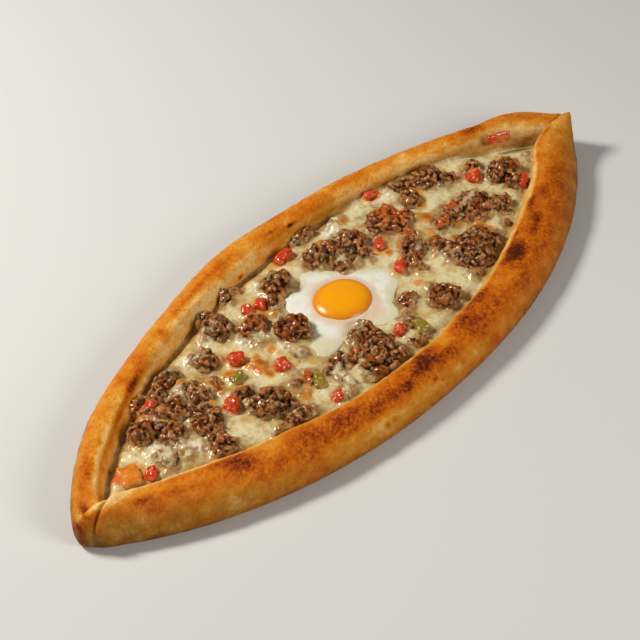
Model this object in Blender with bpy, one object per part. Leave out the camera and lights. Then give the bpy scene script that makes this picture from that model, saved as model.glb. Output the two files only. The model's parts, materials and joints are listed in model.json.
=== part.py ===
"""Turkish pide: an open boat of bread dough with a rolled rim, filled with melted cheese, ground-meat clumps,
diced peppers and one baked egg.

Frame: metres, +Z up. X runs along the boat, Y across it, and the flat underside lies on Z = 0 with the origin
below the middle. Each piece of food is one closed solid, and neighbours keep a small gap.
"""

import math

import bmesh
import bpy
from mathutils import Matrix

MM = 0.001  # the layout lists below are in millimetres

# ---- driving dimensions, in metres ----
HALF_LENGTH = 0.230  # end to end is 0.46
RIM_HEIGHT = 0.0265  # crest of the rolled rim in the middle of the boat
RIM_BELLY = 0.0105  # height at which the outer wall bulges furthest
DOUGH_FLOOR = 0.0040  # thickness of the dough under the filling
FILLING_TOP = 0.0135  # level of the melted cheese
FACE_GAP = 0.0003  # clearance between pieces that touch
SEAT = FILLING_TOP + FACE_GAP  # level on which the toppings sit

MIDDLE = (0.0004, -0.0029)  # middle of the finished outline, which becomes X = Y = 0
END_DRIFT = -0.0075  # both ends lie this far towards -Y of the middle line
# Outer edge and pocket edge, each as half width, reach of the end and two fullness powers, for the four quarters
OUTER = {
    ("front", "left"): (0.0945, 0.2300, 2.10, 0.80),
    ("front", "right"): (0.0945, 0.2300, 2.25, 0.84),
    ("back", "left"): (0.0845, 0.2300, 1.95, 0.70),
    ("back", "right"): (0.0845, 0.2300, 2.00, 0.60),
}
POCKET = {
    ("front", "left"): (0.0670, 0.2060, 2.05, 1.20),
    ("front", "right"): (0.0670, 0.2080, 2.05, 1.28),
    ("back", "left"): (0.0640, 0.2060, 1.95, 0.74),
    ("back", "right"): (0.0640, 0.2080, 1.95, 0.62),
}

BACK_SWELL = 0.0045  # the back rim puffs out beside the egg
BACK_SWELL_X = -0.022
BACK_SWELL_SPREAD = 0.045
RIM_SQUARENESS = 2.5  # 2 is a round roll, larger is flatter on top and at the sides
END_RISE = 0.0040  # extra height of the right tip
LEFT_DIP = 0.0015  # the rim is a little lower at the left end
LEFT_CORNER = 0.0026  # how far the pinched corner of the front flap stands proud at the left end
RIGHT_CORNER = 0.0020  # the same where the flap laps over at the right tip
CORNER_TURN = 0.27  # radians from the end to the corner
CORNER_SPREAD = 0.15
CREASE_DEPTH = 0.0032
CREASE_TURN = 0.05
CREASE_SPREAD = 0.075
BEAK = 0.0030  # how far the crest overhangs at the right tip
BEAK_SPREAD = 0.30
BASE_TUCK = 0.13  # how far the underside stops short of the belly, as a share of the rim's width
FAN_SHARE = 0.6  # size of the inner ring of the underside and of the pocket's floor
AROUND = 96  # steps round the boat
WALL_STEPS = 4  # rows below the belly
ROLL_STEPS = 9  # rows over the roll, belly to pocket


YOLK_AT = (0.0025, 0.0)
YOLK_RADIUS = 0.0180
YOLK_HEIGHT = 0.0065
WHITE_RADIUS = 0.029  # egg white without its lobes
WHITE_PAD = 0.0018  # thickness under the yolk
WHITE_PAD_MARGIN = 0.0010  # the pad reaches this far past the yolk
WHITE_EDGE = 0.0009  # thickness where it runs out
WHITE_STEPS = 48
YOLK_STEPS = 28
YOLK_ROWS = 5
# Lobes of the egg white as (direction in degrees, reach, spread in degrees)
WHITE_LOBES = (
    (-12, 0.013, 20),
    (80, 0.011, 11),
    (132, 0.008, 16),
    (206, 0.021, 20),
    (245, -0.006, 12),
    (285, 0.008, 18),
)

# Meat clumps in millimetres and degrees: (x, y, half length, half width, turn, height)
CLUMPS = (
    (-160, -10, 8, 6.5, -40, 6),
    (-155, 15, 10, 7.5, 0, 8),
    (-144, 1, 8, 6.5, 20, 7),
    (-131, 17, 9, 7, 0, 7),
    (-125, -7, 10, 8, 0, 7.5),
    (-133, -25, 8.5, 8, 0, 8),
    (-117, 34, 11, 6, 10, 6),
    (-112, 11, 8, 7.5, 0, 6.5),
    (-89, 28, 8, 8.5, 0, 7),
    (-65, 42, 10.5, 9, 0, 8.5),
    (-52, 24, 9, 8.5, 0, 7),
    (-37, 5, 10.5, 11.5, 0, 10),
    (-13, 40, 11, 9, 30, 8.5),
    (-91, -27, 14.5, 12, -30, 10.5),
    (-92, -45.5, 9.5, 4.5, -12, 5.5),
    (-40, -36, 8, 6.5, 0, 6.5),
    (-13, -29, 9, 6.5, 0, 8),
    (-21, -49, 16, 11, 0, 11),
    (21, 38, 9.5, 7, 10, 8),
    (29, 22, 8, 7.5, 0, 7),
    (46, 31, 10.5, 10.5, 0, 9.5),
    (74, 26, 12.5, 12, 0, 8.5),
    (66, -4, 9, 7, 30, 7),
    (25, -33, 7, 5.5, 0, 6),
    (43, -49, 11, 9, 0, 8.5),
    (88, -34, 19, 12, -12, 10.5),
    (109, 42, 9, 5, -18, 6.5),
    (103, 29, 7, 6.5, 0, 6.5),
    (127, 31, 11, 9.5, 0, 8.5),
    (124, -7, 12, 9, -10, 9),
    (136, -21, 8, 5.5, 20, 6),
    (103, -4, 7.5, 6.5, 0, 6.5),
    (163, -3, 12, 9.5, -10, 10),
)
CLUMP_SIDES = 11
CLUMP_RINGS = ((0.0, 0.90), (0.28, 1.0), (0.62, 0.86), (0.90, 0.50))  # (share of height, share of width)

# Diced peppers in millimetres and degrees: (kind, x, y, length, width, turn, height)
DICE = (
    ("red_pepper", -141, 28, 11, 7.5, 15, 6),
    ("red_pepper", -174, -10, 8, 6, 30, 5),
    ("red_pepper", -107, -9, 9.5, 8, 25, 6.5),
    ("red_pepper", -64, -10, 9, 8, 70, 6),
    ("red_pepper", -77, 15, 9, 8.5, -30, 6),
    ("red_pepper", -42, 39, 7, 6.5, 60, 5.5),
    ("red_pepper", -33, 36, 8, 7, 20, 5),
    ("red_pepper", 9, 55, 12, 6.5, 5, 5.5),
    ("red_pepper", 3, -45, 7, 6, 30, 5),
    ("red_pepper", 47, -9, 9.5, 6.5, 30, 5.5),
    ("red_pepper", 56, 15, 8, 6, 50, 5),
    ("red_pepper", 90, 49, 10, 5.5, -20, 6),
    ("red_pepper", 147, 10, 9, 7.5, 25, 6),
    ("red_pepper", 162, -19, 12, 6, 25, 6),
    ("red_pepper", 184, 12.5, 13, 4.5, -30, 8),
    ("red_pepper", -62, -52, 8, 5, 35, 4.5),
    ("green_pepper", 13, -53, 10, 8, 75, 5.5),
    ("green_pepper", -60, -36, 9, 6, 60, 4.5),
    ("green_pepper", -88, 4, 8, 6, 10, 4.5),
    ("roast_pepper", -184, 0.5, 13, 8, -25, 4.5),
    ("roast_pepper", -73, 1, 9, 7, 80, 4.5),
)
DICE_TAPER = 0.2
DICE_SLOPE = 0.14
DICE_BEVEL = 0.26  # share of the smallest side that the rounded edges take

CHEESE_RINGS = (0.975, 0.88, 0.76, 0.60, 0.42, 0.22)  # shares of the pocket's width
CHEESE_STEPS = 64
POCKET_CLEARANCE = 0.0018  # keeps the straight facets of cheese and dough apart
CHEESE_CREEP = 0.0022  # how far the cheese climbs at the dough


def wave(angle, *terms):
    """Sum of sines: each term is (amplitude, turns, phase)."""
    return sum(size * math.sin(turns * angle + phase) for size, turns, phase in terms)


def bell(distance, width):
    """Smooth bump of height 1 that fades out past about two widths."""
    return math.exp(-((distance / width) ** 2))


def lens_edge(angle, quarters):
    """Point of a lens-shaped outline; angle 0 is the right end and a quarter turn is the back."""
    along = math.cos(angle)
    side = "back" if math.sin(angle) >= 0 else "front"
    end = "right" if along >= 0 else "left"
    half_width, reach, power, fullness = quarters[side, end]
    across = half_width * max(0.0, 1.0 - abs(along) ** power) ** fullness
    sign = 1.0 if side == "back" else -1.0
    x = reach * along
    if side == "back" and quarters is OUTER:
        across += BACK_SWELL * bell(x - BACK_SWELL_X, BACK_SWELL_SPREAD)
    return x, sign * across + END_DRIFT * (x / HALF_LENGTH) ** 2


def from_end(angle, end_angle):
    """Signed turn from one of the two ends, in radians, between -pi and pi."""
    return (angle - end_angle + math.pi) % (2.0 * math.pi) - math.pi


def rim_height(angle):
    """The crest rises to the right tip, dips a little beside the left end and is slightly uneven."""
    right = from_end(angle, 0.0)
    left = from_end(angle, math.pi)
    height = RIM_HEIGHT + wave(angle, (0.0006, 5, 0.4), (0.0004, 9, 2.0))
    height += END_RISE * bell(right, 0.42)
    height -= LEFT_DIP * bell(left, 0.35)
    return height


def fold_step(angle):
    """How far the dough stands proud at the tucked folds: the front flap ends in a pinched corner at the left
    end and laps over the back rim at the right tip, each with a crease beside it."""
    step = 0.0
    for end_angle, toward, corner in ((math.pi, 1.0, LEFT_CORNER), (0.0, -1.0, RIGHT_CORNER)):
        turn = toward * from_end(angle, end_angle)
        step += corner * bell(turn - CORNER_TURN, CORNER_SPREAD)
        step -= CREASE_DEPTH * bell(turn - CREASE_TURN, CREASE_SPREAD)
    return step


def rim_profile():
    """Rows from the edge of the underside over the roll to the pocket, as (share of the width, lift): lift is -1
    on the underside, 0 at the belly and 1 on the crest."""
    rows = []
    for step in range(WALL_STEPS):
        turn = 0.5 * math.pi * (1.0 - step / WALL_STEPS)
        rows.append((BASE_TUCK * (1.0 - math.cos(turn)), -math.sin(turn)))
    power = 2.0 / RIM_SQUARENESS
    for step in range(ROLL_STEPS + 1):
        turn = math.pi * step / ROLL_STEPS
        across = 0.5 - 0.5 * math.copysign(abs(math.cos(turn)) ** power, math.cos(turn))
        rows.append((across, math.sin(turn) ** power))
    return rows


def crust_rows(angle):
    """Points of one slice of the crust, from the underside's edge to the edge of the pocket's floor."""
    outer = lens_edge(angle, OUTER)
    pocket = lens_edge(angle, POCKET)
    width = math.dist(outer, pocket)
    step = fold_step(angle)
    top = rim_height(angle) + step
    beak = BEAK * bell(from_end(angle, 0.0), BEAK_SPREAD)
    points = []
    for share, lift in rim_profile():
        if lift < 0.0:
            z = RIM_BELLY * (1.0 + lift)
            out = step
        else:
            z = RIM_BELLY + (top - RIM_BELLY) * lift
            out = step + beak * lift
        share -= out / width * (1.0 - share)
        x = outer[0] + (pocket[0] - outer[0]) * share
        y = outer[1] + (pocket[1] - outer[1]) * share
        points.append((x, y, z))
    points.append((pocket[0], pocket[1], DOUGH_FLOOR))
    return points


def material(name, colour, roughness):
    """Principled material of one kind of food."""
    mat = bpy.data.materials.new(name)
    mat.use_nodes = True
    shader = mat.node_tree.nodes["Principled BSDF"]
    shader.inputs["Base Color"].default_value = (*colour, 1.0)
    shader.inputs["Roughness"].default_value = roughness
    shader.inputs["Metallic"].default_value = 0.0
    return mat


def add_solid(name, mesh_builder, mat):
    """Turns a bmesh into a smooth object, centred on the finished outline and with its faces pointing out."""
    bmesh.ops.translate(mesh_builder, verts=mesh_builder.verts, vec=(-MIDDLE[0], -MIDDLE[1], 0.0))
    bmesh.ops.recalc_face_normals(mesh_builder, faces=mesh_builder.faces)
    mesh = bpy.data.meshes.new(name)
    mesh_builder.to_mesh(mesh)
    mesh_builder.free()
    mesh.materials.append(mat)
    mesh.shade_smooth()
    solid = bpy.data.objects.new(name, mesh)
    bpy.context.scene.collection.objects.link(solid)
    return solid


def lofted(rings, first_cap, last_cap):
    """Closed body through rings of equal count; each cap is a point in the middle of its end ring."""
    builder = bmesh.new()
    loops = [[builder.verts.new(point) for point in ring] for ring in rings]
    count = len(loops[0])
    for lower, upper in zip(loops, loops[1:]):
        for i in range(count):
            j = (i + 1) % count
            builder.faces.new((lower[i], lower[j], upper[j], upper[i]))
    for loop, cap in ((loops[0], first_cap), (loops[-1], last_cap)):
        tip = builder.verts.new(cap)
        for i in range(count):
            builder.faces.new((loop[i], loop[(i + 1) % count], tip))
    return builder


def make_crust():
    """The dough boat: flat underside, bulging wall, rolled rim with folded ends, and the pocket's floor."""
    slices = [crust_rows(2.0 * math.pi * i / AROUND) for i in range(AROUND)]
    rings = [list(ring) for ring in zip(*slices)]
    floor = [(FAN_SHARE * x, FAN_SHARE * y, z) for x, y, z in rings[-1]]
    base = [(FAN_SHARE * x, FAN_SHARE * y, z) for x, y, z in rings[0]]
    builder = lofted([base, *rings, floor], (0.0, 0.0, 0.0), (0.0, 0.0, DOUGH_FLOOR))
    return add_solid("crust", builder, material("baked_dough", (0.52, 0.22, 0.055), 0.5))


def pocket_point(angle, share):
    """Point inside the pocket: share 1 is just clear of its edge."""
    x, y = lens_edge(angle, POCKET)
    scale = share * (1.0 - POCKET_CLEARANCE / math.hypot(x, y))
    return x * scale, y * scale


def make_cheese():
    """The filling: a body of melted cheese out to the dough, creeping up a little at the wall."""
    angles = [2.0 * math.pi * i / CHEESE_STEPS for i in range(CHEESE_STEPS)]
    bottom = DOUGH_FLOOR + FACE_GAP
    levels = [(0.5, bottom), (1.0, bottom), (1.0, FILLING_TOP + CHEESE_CREEP)]
    levels += [(share, FILLING_TOP) for share in CHEESE_RINGS]
    rings = [[(*pocket_point(a, share), z) for a in angles] for share, z in levels]
    builder = lofted(rings, (0.0, 0.0, bottom), (0.0, 0.0, FILLING_TOP))
    return add_solid("cheese", builder, material("melted_cheese", (0.72, 0.60, 0.34), 0.4))


def clump_point(clump, seed, angle, share_up, share_out):
    """Point on the lumpy surface of a meat clump; its lumps only cut into the stated width."""
    x, y, half_length, half_width, turn, height = clump
    lumps = 0.93 + wave(angle, (0.045, 3, 1.7 * seed + 2.0 * share_up), (0.025, 5, 2.9 * seed))
    out = share_out * lumps
    along = half_length * out * math.cos(angle)
    across = half_width * out * math.sin(angle)
    rise = share_up * (1.0 + wave(angle, (0.05, 2, 0.8 * seed), (0.04, 3, 2.3 * seed)) * (share_up > 0.0))
    cos_turn = math.cos(math.radians(turn))
    sin_turn = math.sin(math.radians(turn))
    return (
        (x + along * cos_turn - across * sin_turn) * MM,
        (y + along * sin_turn + across * cos_turn) * MM,
        SEAT + height * rise * MM,
    )


def make_clump(number, clump, mat):
    """One clump of fried ground meat: a lumpy mound with a flat underside on the cheese."""
    rings = []
    for share_up, share_out in CLUMP_RINGS:
        ring = []
        for i in range(CLUMP_SIDES):
            angle = 2.0 * math.pi * i / CLUMP_SIDES
            ring.append(clump_point(clump, number, angle, share_up, share_out))
        rings.append(ring)
    x, y, height = clump[0] * MM, clump[1] * MM, clump[5] * MM
    builder = lofted(rings, (x, y, SEAT), (x, y, SEAT + height))
    return add_solid(f"meat_clump_{number:02d}", builder, mat)


def make_dice(name, spec, mat):
    """One piece of diced pepper: a block with rounded edges, narrower at one end and with a sloping top."""
    _, x, y, length, width, turn, height = spec
    builder = bmesh.new()
    bmesh.ops.create_cube(builder, size=1.0)
    for vert in builder.verts:
        vert.co.y *= 1.0 - DICE_TAPER * (vert.co.x + 0.5)
        vert.co.z = (vert.co.z + 0.5) * (1.0 + DICE_SLOPE * (vert.co.x - vert.co.y))
    bmesh.ops.scale(builder, verts=builder.verts, vec=(length * MM, width * MM, height * MM))
    bmesh.ops.bevel(
        builder,
        geom=list(builder.edges),
        offset=DICE_BEVEL * min(width, height) * MM,
        segments=1,
        profile=0.5,
        affect="EDGES",
    )
    bmesh.ops.rotate(builder, verts=builder.verts, matrix=Matrix.Rotation(math.radians(turn), 3, "Z"))
    bmesh.ops.translate(builder, verts=builder.verts, vec=(x * MM, y * MM, SEAT))
    return add_solid(name, builder, mat)


def free_reach(angle):
    """How far from the yolk's middle the egg white can run before it meets a clump or a dice."""
    reach = 1.0
    direction = (math.cos(angle), math.sin(angle))
    blocks = [(c[0], c[1], max(c[2], c[3])) for c in CLUMPS]
    blocks += [(d[1], d[2], 0.5 * math.hypot(d[3], d[4])) for d in DICE]
    for x, y, radius in blocks:
        offset = (x * MM - YOLK_AT[0], y * MM - YOLK_AT[1])
        along = offset[0] * direction[0] + offset[1] * direction[1]
        aside = abs(offset[0] * direction[1] - offset[1] * direction[0])
        keep = radius * MM + 2.0 * FACE_GAP
        if along > 0.0 and aside < keep:
            reach = min(reach, along - math.sqrt(keep**2 - aside**2))
    return reach


def white_reach(angle):
    """Edge of the egg white in one direction: a round with lobes, stopped by what lies in its way."""
    reach = WHITE_RADIUS
    for direction, extra, spread in WHITE_LOBES:
        turn = from_end(angle, math.radians(direction))
        reach += extra * bell(turn, math.radians(spread))
    return min(reach, free_reach(angle))


def ring_about_yolk(reaches, z):
    """Closed ring of points round the yolk's middle, one for each reach."""
    count = len(reaches)
    angles = [2.0 * math.pi * i / count for i in range(count)]
    return [
        (YOLK_AT[0] + reach * math.cos(angle), YOLK_AT[1] + reach * math.sin(angle), z)
        for reach, angle in zip(reaches, angles)
    ]


def make_egg_white():
    """A thin lobed white on the cheese, flat where the yolk sits and thinner towards its edge."""
    edge = [white_reach(2.0 * math.pi * i / WHITE_STEPS) for i in range(WHITE_STEPS)]
    middle = 0.5 * (WHITE_EDGE + WHITE_PAD)
    levels = ((1.0, 0.0), (1.0, WHITE_EDGE), (0.6, middle), (0.0, WHITE_PAD))
    pad = YOLK_RADIUS + WHITE_PAD_MARGIN
    rings = [ring_about_yolk([pad + (reach - pad) * share for reach in edge], SEAT + z) for share, z in levels]
    builder = lofted(rings, (*YOLK_AT, SEAT), (*YOLK_AT, SEAT + WHITE_PAD))
    add_solid("egg_white", builder, material("cooked_egg_white", (0.80, 0.76, 0.68), 0.35))


def make_yolk():
    """The yolk: a low dome on the flat part of the white."""
    base = SEAT + WHITE_PAD + FACE_GAP
    rings = []
    for step in range(YOLK_ROWS):
        turn = 0.5 * math.pi * step / YOLK_ROWS
        reach = YOLK_RADIUS * math.cos(turn)
        rings.append(ring_about_yolk([reach] * YOLK_STEPS, base + YOLK_HEIGHT * math.sin(turn)))
    builder = lofted(rings, (*YOLK_AT, base), (*YOLK_AT, base + YOLK_HEIGHT))
    add_solid("egg_yolk", builder, material("egg_yolk", (0.90, 0.36, 0.01), 0.25))


def make_toppings():
    """All meat clumps and diced peppers."""
    meat = material("fried_meat", (0.13, 0.055, 0.025), 0.6)
    for number, clump in enumerate(CLUMPS, 1):
        make_clump(number, clump, meat)
    colours = {
        "red_pepper": (0.42, 0.03, 0.012),
        "green_pepper": (0.25, 0.20, 0.02),
        "roast_pepper": (0.50, 0.20, 0.03),
    }
    for kind, colour in colours.items():
        flesh = material(kind, colour, 0.4)
        for number, spec in enumerate([d for d in DICE if d[0] == kind], 1):
            make_dice(f"{kind}_{number:02d}", spec, flesh)


def main():
    """Clears the scene and builds every piece."""
    for old in list(bpy.data.objects):
        bpy.data.objects.remove(old, do_unlink=True)
    make_crust()
    make_cheese()
    make_egg_white()
    make_yolk()
    make_toppings()


main()
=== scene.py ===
"""A baked turkish pide: a blistered bread boat filled with melted cheese, fried meat, diced peppers and an egg.

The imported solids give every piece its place. Each operator below makes one kind of food as a mesh in metres, on
the frame of those solids, and gives it a procedural finish.
"""

import json
import math

import bmesh
import bpy
import numpy as np
from bpy.props import FloatProperty, FloatVectorProperty, IntProperty, PointerProperty
from mathutils import Matrix, Vector
from mathutils.kdtree import KDTree

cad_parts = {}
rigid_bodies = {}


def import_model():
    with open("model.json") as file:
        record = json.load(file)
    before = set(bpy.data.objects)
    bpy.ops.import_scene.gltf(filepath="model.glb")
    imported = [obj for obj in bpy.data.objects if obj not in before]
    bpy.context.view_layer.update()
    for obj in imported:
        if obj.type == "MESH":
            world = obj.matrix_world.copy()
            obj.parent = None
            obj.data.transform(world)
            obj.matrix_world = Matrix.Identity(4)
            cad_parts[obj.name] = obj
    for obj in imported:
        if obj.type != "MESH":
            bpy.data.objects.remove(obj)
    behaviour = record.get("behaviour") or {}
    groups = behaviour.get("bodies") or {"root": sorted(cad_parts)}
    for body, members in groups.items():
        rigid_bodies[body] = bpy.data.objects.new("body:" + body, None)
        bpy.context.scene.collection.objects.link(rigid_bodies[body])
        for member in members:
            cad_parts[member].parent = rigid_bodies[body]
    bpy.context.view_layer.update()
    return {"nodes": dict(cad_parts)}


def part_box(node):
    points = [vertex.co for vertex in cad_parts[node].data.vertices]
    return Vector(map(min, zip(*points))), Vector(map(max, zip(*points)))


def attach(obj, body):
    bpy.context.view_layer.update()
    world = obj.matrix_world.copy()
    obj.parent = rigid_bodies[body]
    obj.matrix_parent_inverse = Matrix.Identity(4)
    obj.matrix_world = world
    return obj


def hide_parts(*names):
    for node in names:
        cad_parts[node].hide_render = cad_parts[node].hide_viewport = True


bl_info = {
    "name": "Turkish Pide",
    "version": (1, 0, 0),
    "blender": (4, 5, 0),
    "location": "View3D > Sidebar > Pide",
    "description": "Dresses the solids of a turkish pide as baked bread, cheese, meat, peppers and egg",
    "category": "Add Mesh",
}

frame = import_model()

MM = 0.001
CLUMP_NODES = sorted(name for name in frame["nodes"] if name.startswith("meat_clump"))
RED_NODES = sorted(name for name in frame["nodes"] if name.startswith("red_pepper"))
WALL_STRIP = "red_pepper_15"  # clings to the inner wall, clear of the cheese
GREEN_NODES = sorted(name for name in frame["nodes"] if name.startswith("green_pepper"))
ROAST_NODES = sorted(name for name in frame["nodes"] if name.startswith("roast_pepper"))

# The bread's outline and rim, as its solid has them (metres and radians)
MIDDLE = (0.0004, -0.0029)
HALF_LENGTH = 0.230
RIM_HEIGHT = 0.0265
RIM_BELLY = 0.0105
DOUGH_FLOOR = 0.0040
FILLING_TOP = 0.0135
END_DRIFT = -0.0075
OUTER = {
    ("front", "left"): (0.0945, 0.2300, 2.10, 0.80),
    ("front", "right"): (0.0945, 0.2300, 2.25, 0.84),
    ("back", "left"): (0.0845, 0.2300, 1.95, 0.70),
    ("back", "right"): (0.0845, 0.2300, 2.00, 0.60),
}
POCKET = {
    ("front", "left"): (0.0670, 0.2060, 2.05, 1.20),
    ("front", "right"): (0.0670, 0.2080, 2.05, 1.28),
    ("back", "left"): (0.0640, 0.2060, 1.95, 0.74),
    ("back", "right"): (0.0640, 0.2080, 1.95, 0.62),
}
# Swells of the back of the outline: (along the boat, spread, how far out)
BACK_SWELLS = ((-0.022, 0.045, 0.0045), (-0.168, 0.040, 0.0030), (0.205, 0.018, 0.0026))
RIM_SQUARENESS = 2.5
END_RISE = 0.0040
LEFT_DIP = 0.0015
# Tucked folds: (end, side towards which it laps, corner's turn, spread and height, crease's turn, spread and depth)
FOLDS = (
    (math.pi, 1.0, 0.275, 0.070, 0.0026, 0.205, 0.030, 0.0036),
    (0.0, -1.0, 0.13, 0.15, 0.0024, -0.015, 0.040, 0.0034),
)
NEAR_LEAN = 0.40  # how far the front rim's crest leans towards the pocket
TIP_LEAN = 1.0  # how far the right tip's crest leans outwards
TIP_FULLNESS = 0.30  # how much squarer the rim is beside the right tip
SHOULDER = 0.40  # angle at which the back rim is full, high and leans outwards
SHOULDER_LEAN = 0.5
SHOULDER_RISE = 0.0016
# The flap of the right fold laps in over the pocket: its turn, its spread and how far it reaches
FLAP_TURN = -0.36
FLAP_SPREAD = 0.22
FLAP = (-0.0045, 0.0052)
BASE_TUCK = 0.13


# ---------------------------------------------------------------- node trees written as expressions


class Wire:
    """A socket of a node tree that takes part in Python arithmetic."""

    def __init__(self, graph, socket):
        self.graph = graph
        self.socket = socket

    @staticmethod
    def _is_number(value):
        if isinstance(value, Wire):
            return value.socket.type in {"VALUE", "INT", "BOOLEAN"}
        return isinstance(value, (int, float))

    def _combine(self, operation, first, second):
        kind = "ShaderNodeVectorMath"
        if self._is_number(first) and self._is_number(second):
            kind = "ShaderNodeMath"
        return self.graph.node(kind, {"operation": operation}, {0: first, 1: second})

    def __add__(self, other):
        return self._combine("ADD", self, other)

    def __radd__(self, other):
        return self._combine("ADD", other, self)

    def __sub__(self, other):
        return self._combine("SUBTRACT", self, other)

    def __rsub__(self, other):
        return self._combine("SUBTRACT", other, self)

    def __mul__(self, other):
        return self._combine("MULTIPLY", self, other)

    def __rmul__(self, other):
        return self._combine("MULTIPLY", other, self)

    def __truediv__(self, other):
        return self._combine("DIVIDE", self, other)

    def __pow__(self, other):
        return self._combine("POWER", self, other)

    def ease(self, start, end):
        """0 before start, 1 past end and a smooth step between them."""
        settings = {"interpolation_type": "SMOOTHSTEP"}
        return self.graph.node("ShaderNodeMapRange", settings, {0: self, 1: start, 2: end, 3: 0.0, 4: 1.0})

    def spread(self, start, end, low, high):
        """Straight ramp from low to high between start and end, held past them."""
        return self.graph.node("ShaderNodeMapRange", {}, {0: self, 1: start, 2: end, 3: low, 4: high})


class Graph:
    """Adds nodes to a shader or geometry tree."""

    def __init__(self, tree):
        self.tree = tree

    def node(self, kind, settings=None, sockets=None, out=0):
        """Adds a node: its settings first, then the values or links of its sockets. Returns the chosen output."""
        node = self.tree.nodes.new(kind)
        for name, value in (settings or {}).items():
            if name == "stops":
                ramp = node.color_ramp.elements
                while len(ramp) < len(value):
                    ramp.new(0.5)
                for stop, (place, colour) in zip(ramp, value):
                    stop.position = place
                    stop.color = (*colour, 1.0)
            else:
                setattr(node, name, value)
        for key, value in (sockets or {}).items():
            socket = node.inputs[key]
            if isinstance(value, Wire):
                self.tree.links.new(value.socket, socket)
            elif socket.type == "RGBA":
                socket.default_value = (*value[:3], 1.0)
            elif socket.type == "VECTOR" and isinstance(value, (int, float)):
                socket.default_value = (value, value, value)
            else:
                socket.default_value = value
        return Wire(self, node.outputs[out])


class Finish(Graph):
    """A material with one Principled shader: constants set on its sockets, and painted channels."""

    def __init__(self, name, **constants):
        self.material = bpy.data.materials.new(name)
        self.material.use_nodes = True
        super().__init__(self.material.node_tree)
        self.shader = self.material.node_tree.nodes["Principled BSDF"]
        for key, value in constants.items():
            self.shader.inputs[key.replace("_", " ")].default_value = value
        self.place = self.node("ShaderNodeTexCoord", {}, {}, out="Object")

    def paint(self, channel, value):
        """Feeds Base Color, Roughness, Coat Weight or another painted channel."""
        self.tree.links.new(value.socket, self.shader.inputs[channel])

    def relief(self, height, depth):
        """Fine relief: the height, from 0 to 1, stands for the given depth in metres."""
        self.paint("Normal", self.node("ShaderNodeBump", {}, {"Height": height, "Distance": depth}))

    def mix(self, factor, first, second):
        """Blends two colours: the first where the factor is 0."""
        sockets = {0: factor, 6: first, 7: second}
        return self.node("ShaderNodeMix", {"data_type": "RGBA", "clamp_factor": True}, sockets, out=2)

    def ramp(self, factor, stops):
        """Colour that runs through the stops as the factor goes from 0 to 1."""
        return self.node("ShaderNodeValToRGB", {"stops": stops}, {0: factor})

    def noise(self, size, detail=3.0, roughness=0.55, stretch=(1.0, 1.0, 1.0)):
        """Cloudy value between 0 and 1, with features of about the given size in metres."""
        place = self.place
        if stretch != (1.0, 1.0, 1.0):
            place = self.place * Wire(self, self.vector(stretch).socket)
        sockets = {"Vector": place, "Scale": 1.0 / size, "Detail": detail, "Roughness": roughness}
        return self.node("ShaderNodeTexNoise", {}, sockets, out=0)

    def vector(self, values):
        """Constant vector."""
        return self.node("ShaderNodeCombineXYZ", {}, {0: values[0], 1: values[1], 2: values[2]})

    def cells(self, size, feature="F1", randomness=1.0):
        """Distance in a cell pattern whose cells have about the given size in metres."""
        sockets = {"Vector": self.place, "Scale": 1.0 / size, "Randomness": randomness}
        return self.node("ShaderNodeTexVoronoi", {"feature": feature}, sockets, out=0)

    def attribute(self, name):
        """Number stored on the mesh."""
        return self.node("ShaderNodeAttribute", {"attribute_name": name}, {}, out="Fac")


def tone(red, green, blue):
    """Linear colour from the 0 to 255 values of a colour chart."""
    return tuple(((c / 255 + 0.055) / 1.055) ** 2.4 if c > 10 else c / 255 / 12.92 for c in (red, green, blue))


# ---------------------------------------------------------------- numbers and meshes


def noise(points, size, seed=0):
    """Smooth gradient noise, about -1 to 1, at each row of points."""
    cell = np.asarray(points, float) / size
    low = np.floor(cell).astype(np.int64)
    part = cell - low
    fade = part**3 * (part * (part * 6.0 - 15.0) + 10.0)
    total = np.zeros(len(cell))
    for corner in np.ndindex(2, 2, 2):
        mixed = ((low + corner) * (374761393, 668265263, 2147483629)).sum(1) + seed * 1013904223
        mixed = (mixed ^ (mixed >> 13)) * 1274126177 & 0x7FFFFFFFFFFF
        mixed = mixed ^ (mixed >> 16)
        turn = (mixed & 0xFFFF) * (2.0 * math.pi / 65536.0)
        up = ((mixed >> 16) & 0xFFFF) / 32768.0 - 1.0
        flat = np.sqrt(1.0 - up**2)
        away = part - corner
        slope = flat * np.cos(turn) * away[:, 0] + flat * np.sin(turn) * away[:, 1] + up * away[:, 2]
        weight = np.where(corner, fade, 1.0 - fade).prod(1)
        total += weight * slope
    return total * 1.6


def cloud(points, size, octaves=3, seed=0):
    """Several sizes of noise added up, about -1 to 1."""
    total = np.zeros(len(points))
    weight = 1.0
    for octave in range(octaves):
        total += weight * noise(points, size / 2.03**octave, seed + 17 * octave)
        weight *= 0.5
    return total


def ease(value, start, end):
    """0 at start, 1 at end and a smooth step between them."""
    share = np.clip((value - start) / (end - start), 0.0, 1.0)
    return share * share * (3.0 - 2.0 * share)


def bell(distance, width):
    """Smooth bump of height 1 round distance 0."""
    return np.exp(-((distance / width) ** 2))


def flat_points(x, y):
    """Rows of points on the level Z = 0, for noise that doesn't change with height."""
    return np.stack([x, y, np.zeros_like(x)], 1)


def grid_faces(rows, columns, closed=False, first=0):
    """Quads between rows of points stored one after another; a closed grid joins its ends."""
    across = np.arange(columns if closed else columns - 1)
    down = first + np.arange(rows - 1)[:, None] * columns
    following = (across + 1) % columns
    quads = np.stack([down + across, down + following, down + columns + following, down + columns + across], -1)
    return quads.reshape(-1, 4).tolist()


def fan_faces(ring, tip, turned=False):
    """Triangles from a closed ring of point numbers to one tip."""
    following = ring[1:] + ring[:1]
    if turned:
        return [(b, a, tip) for a, b in zip(ring, following)]
    return [(a, b, tip) for a, b in zip(ring, following)]


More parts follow.
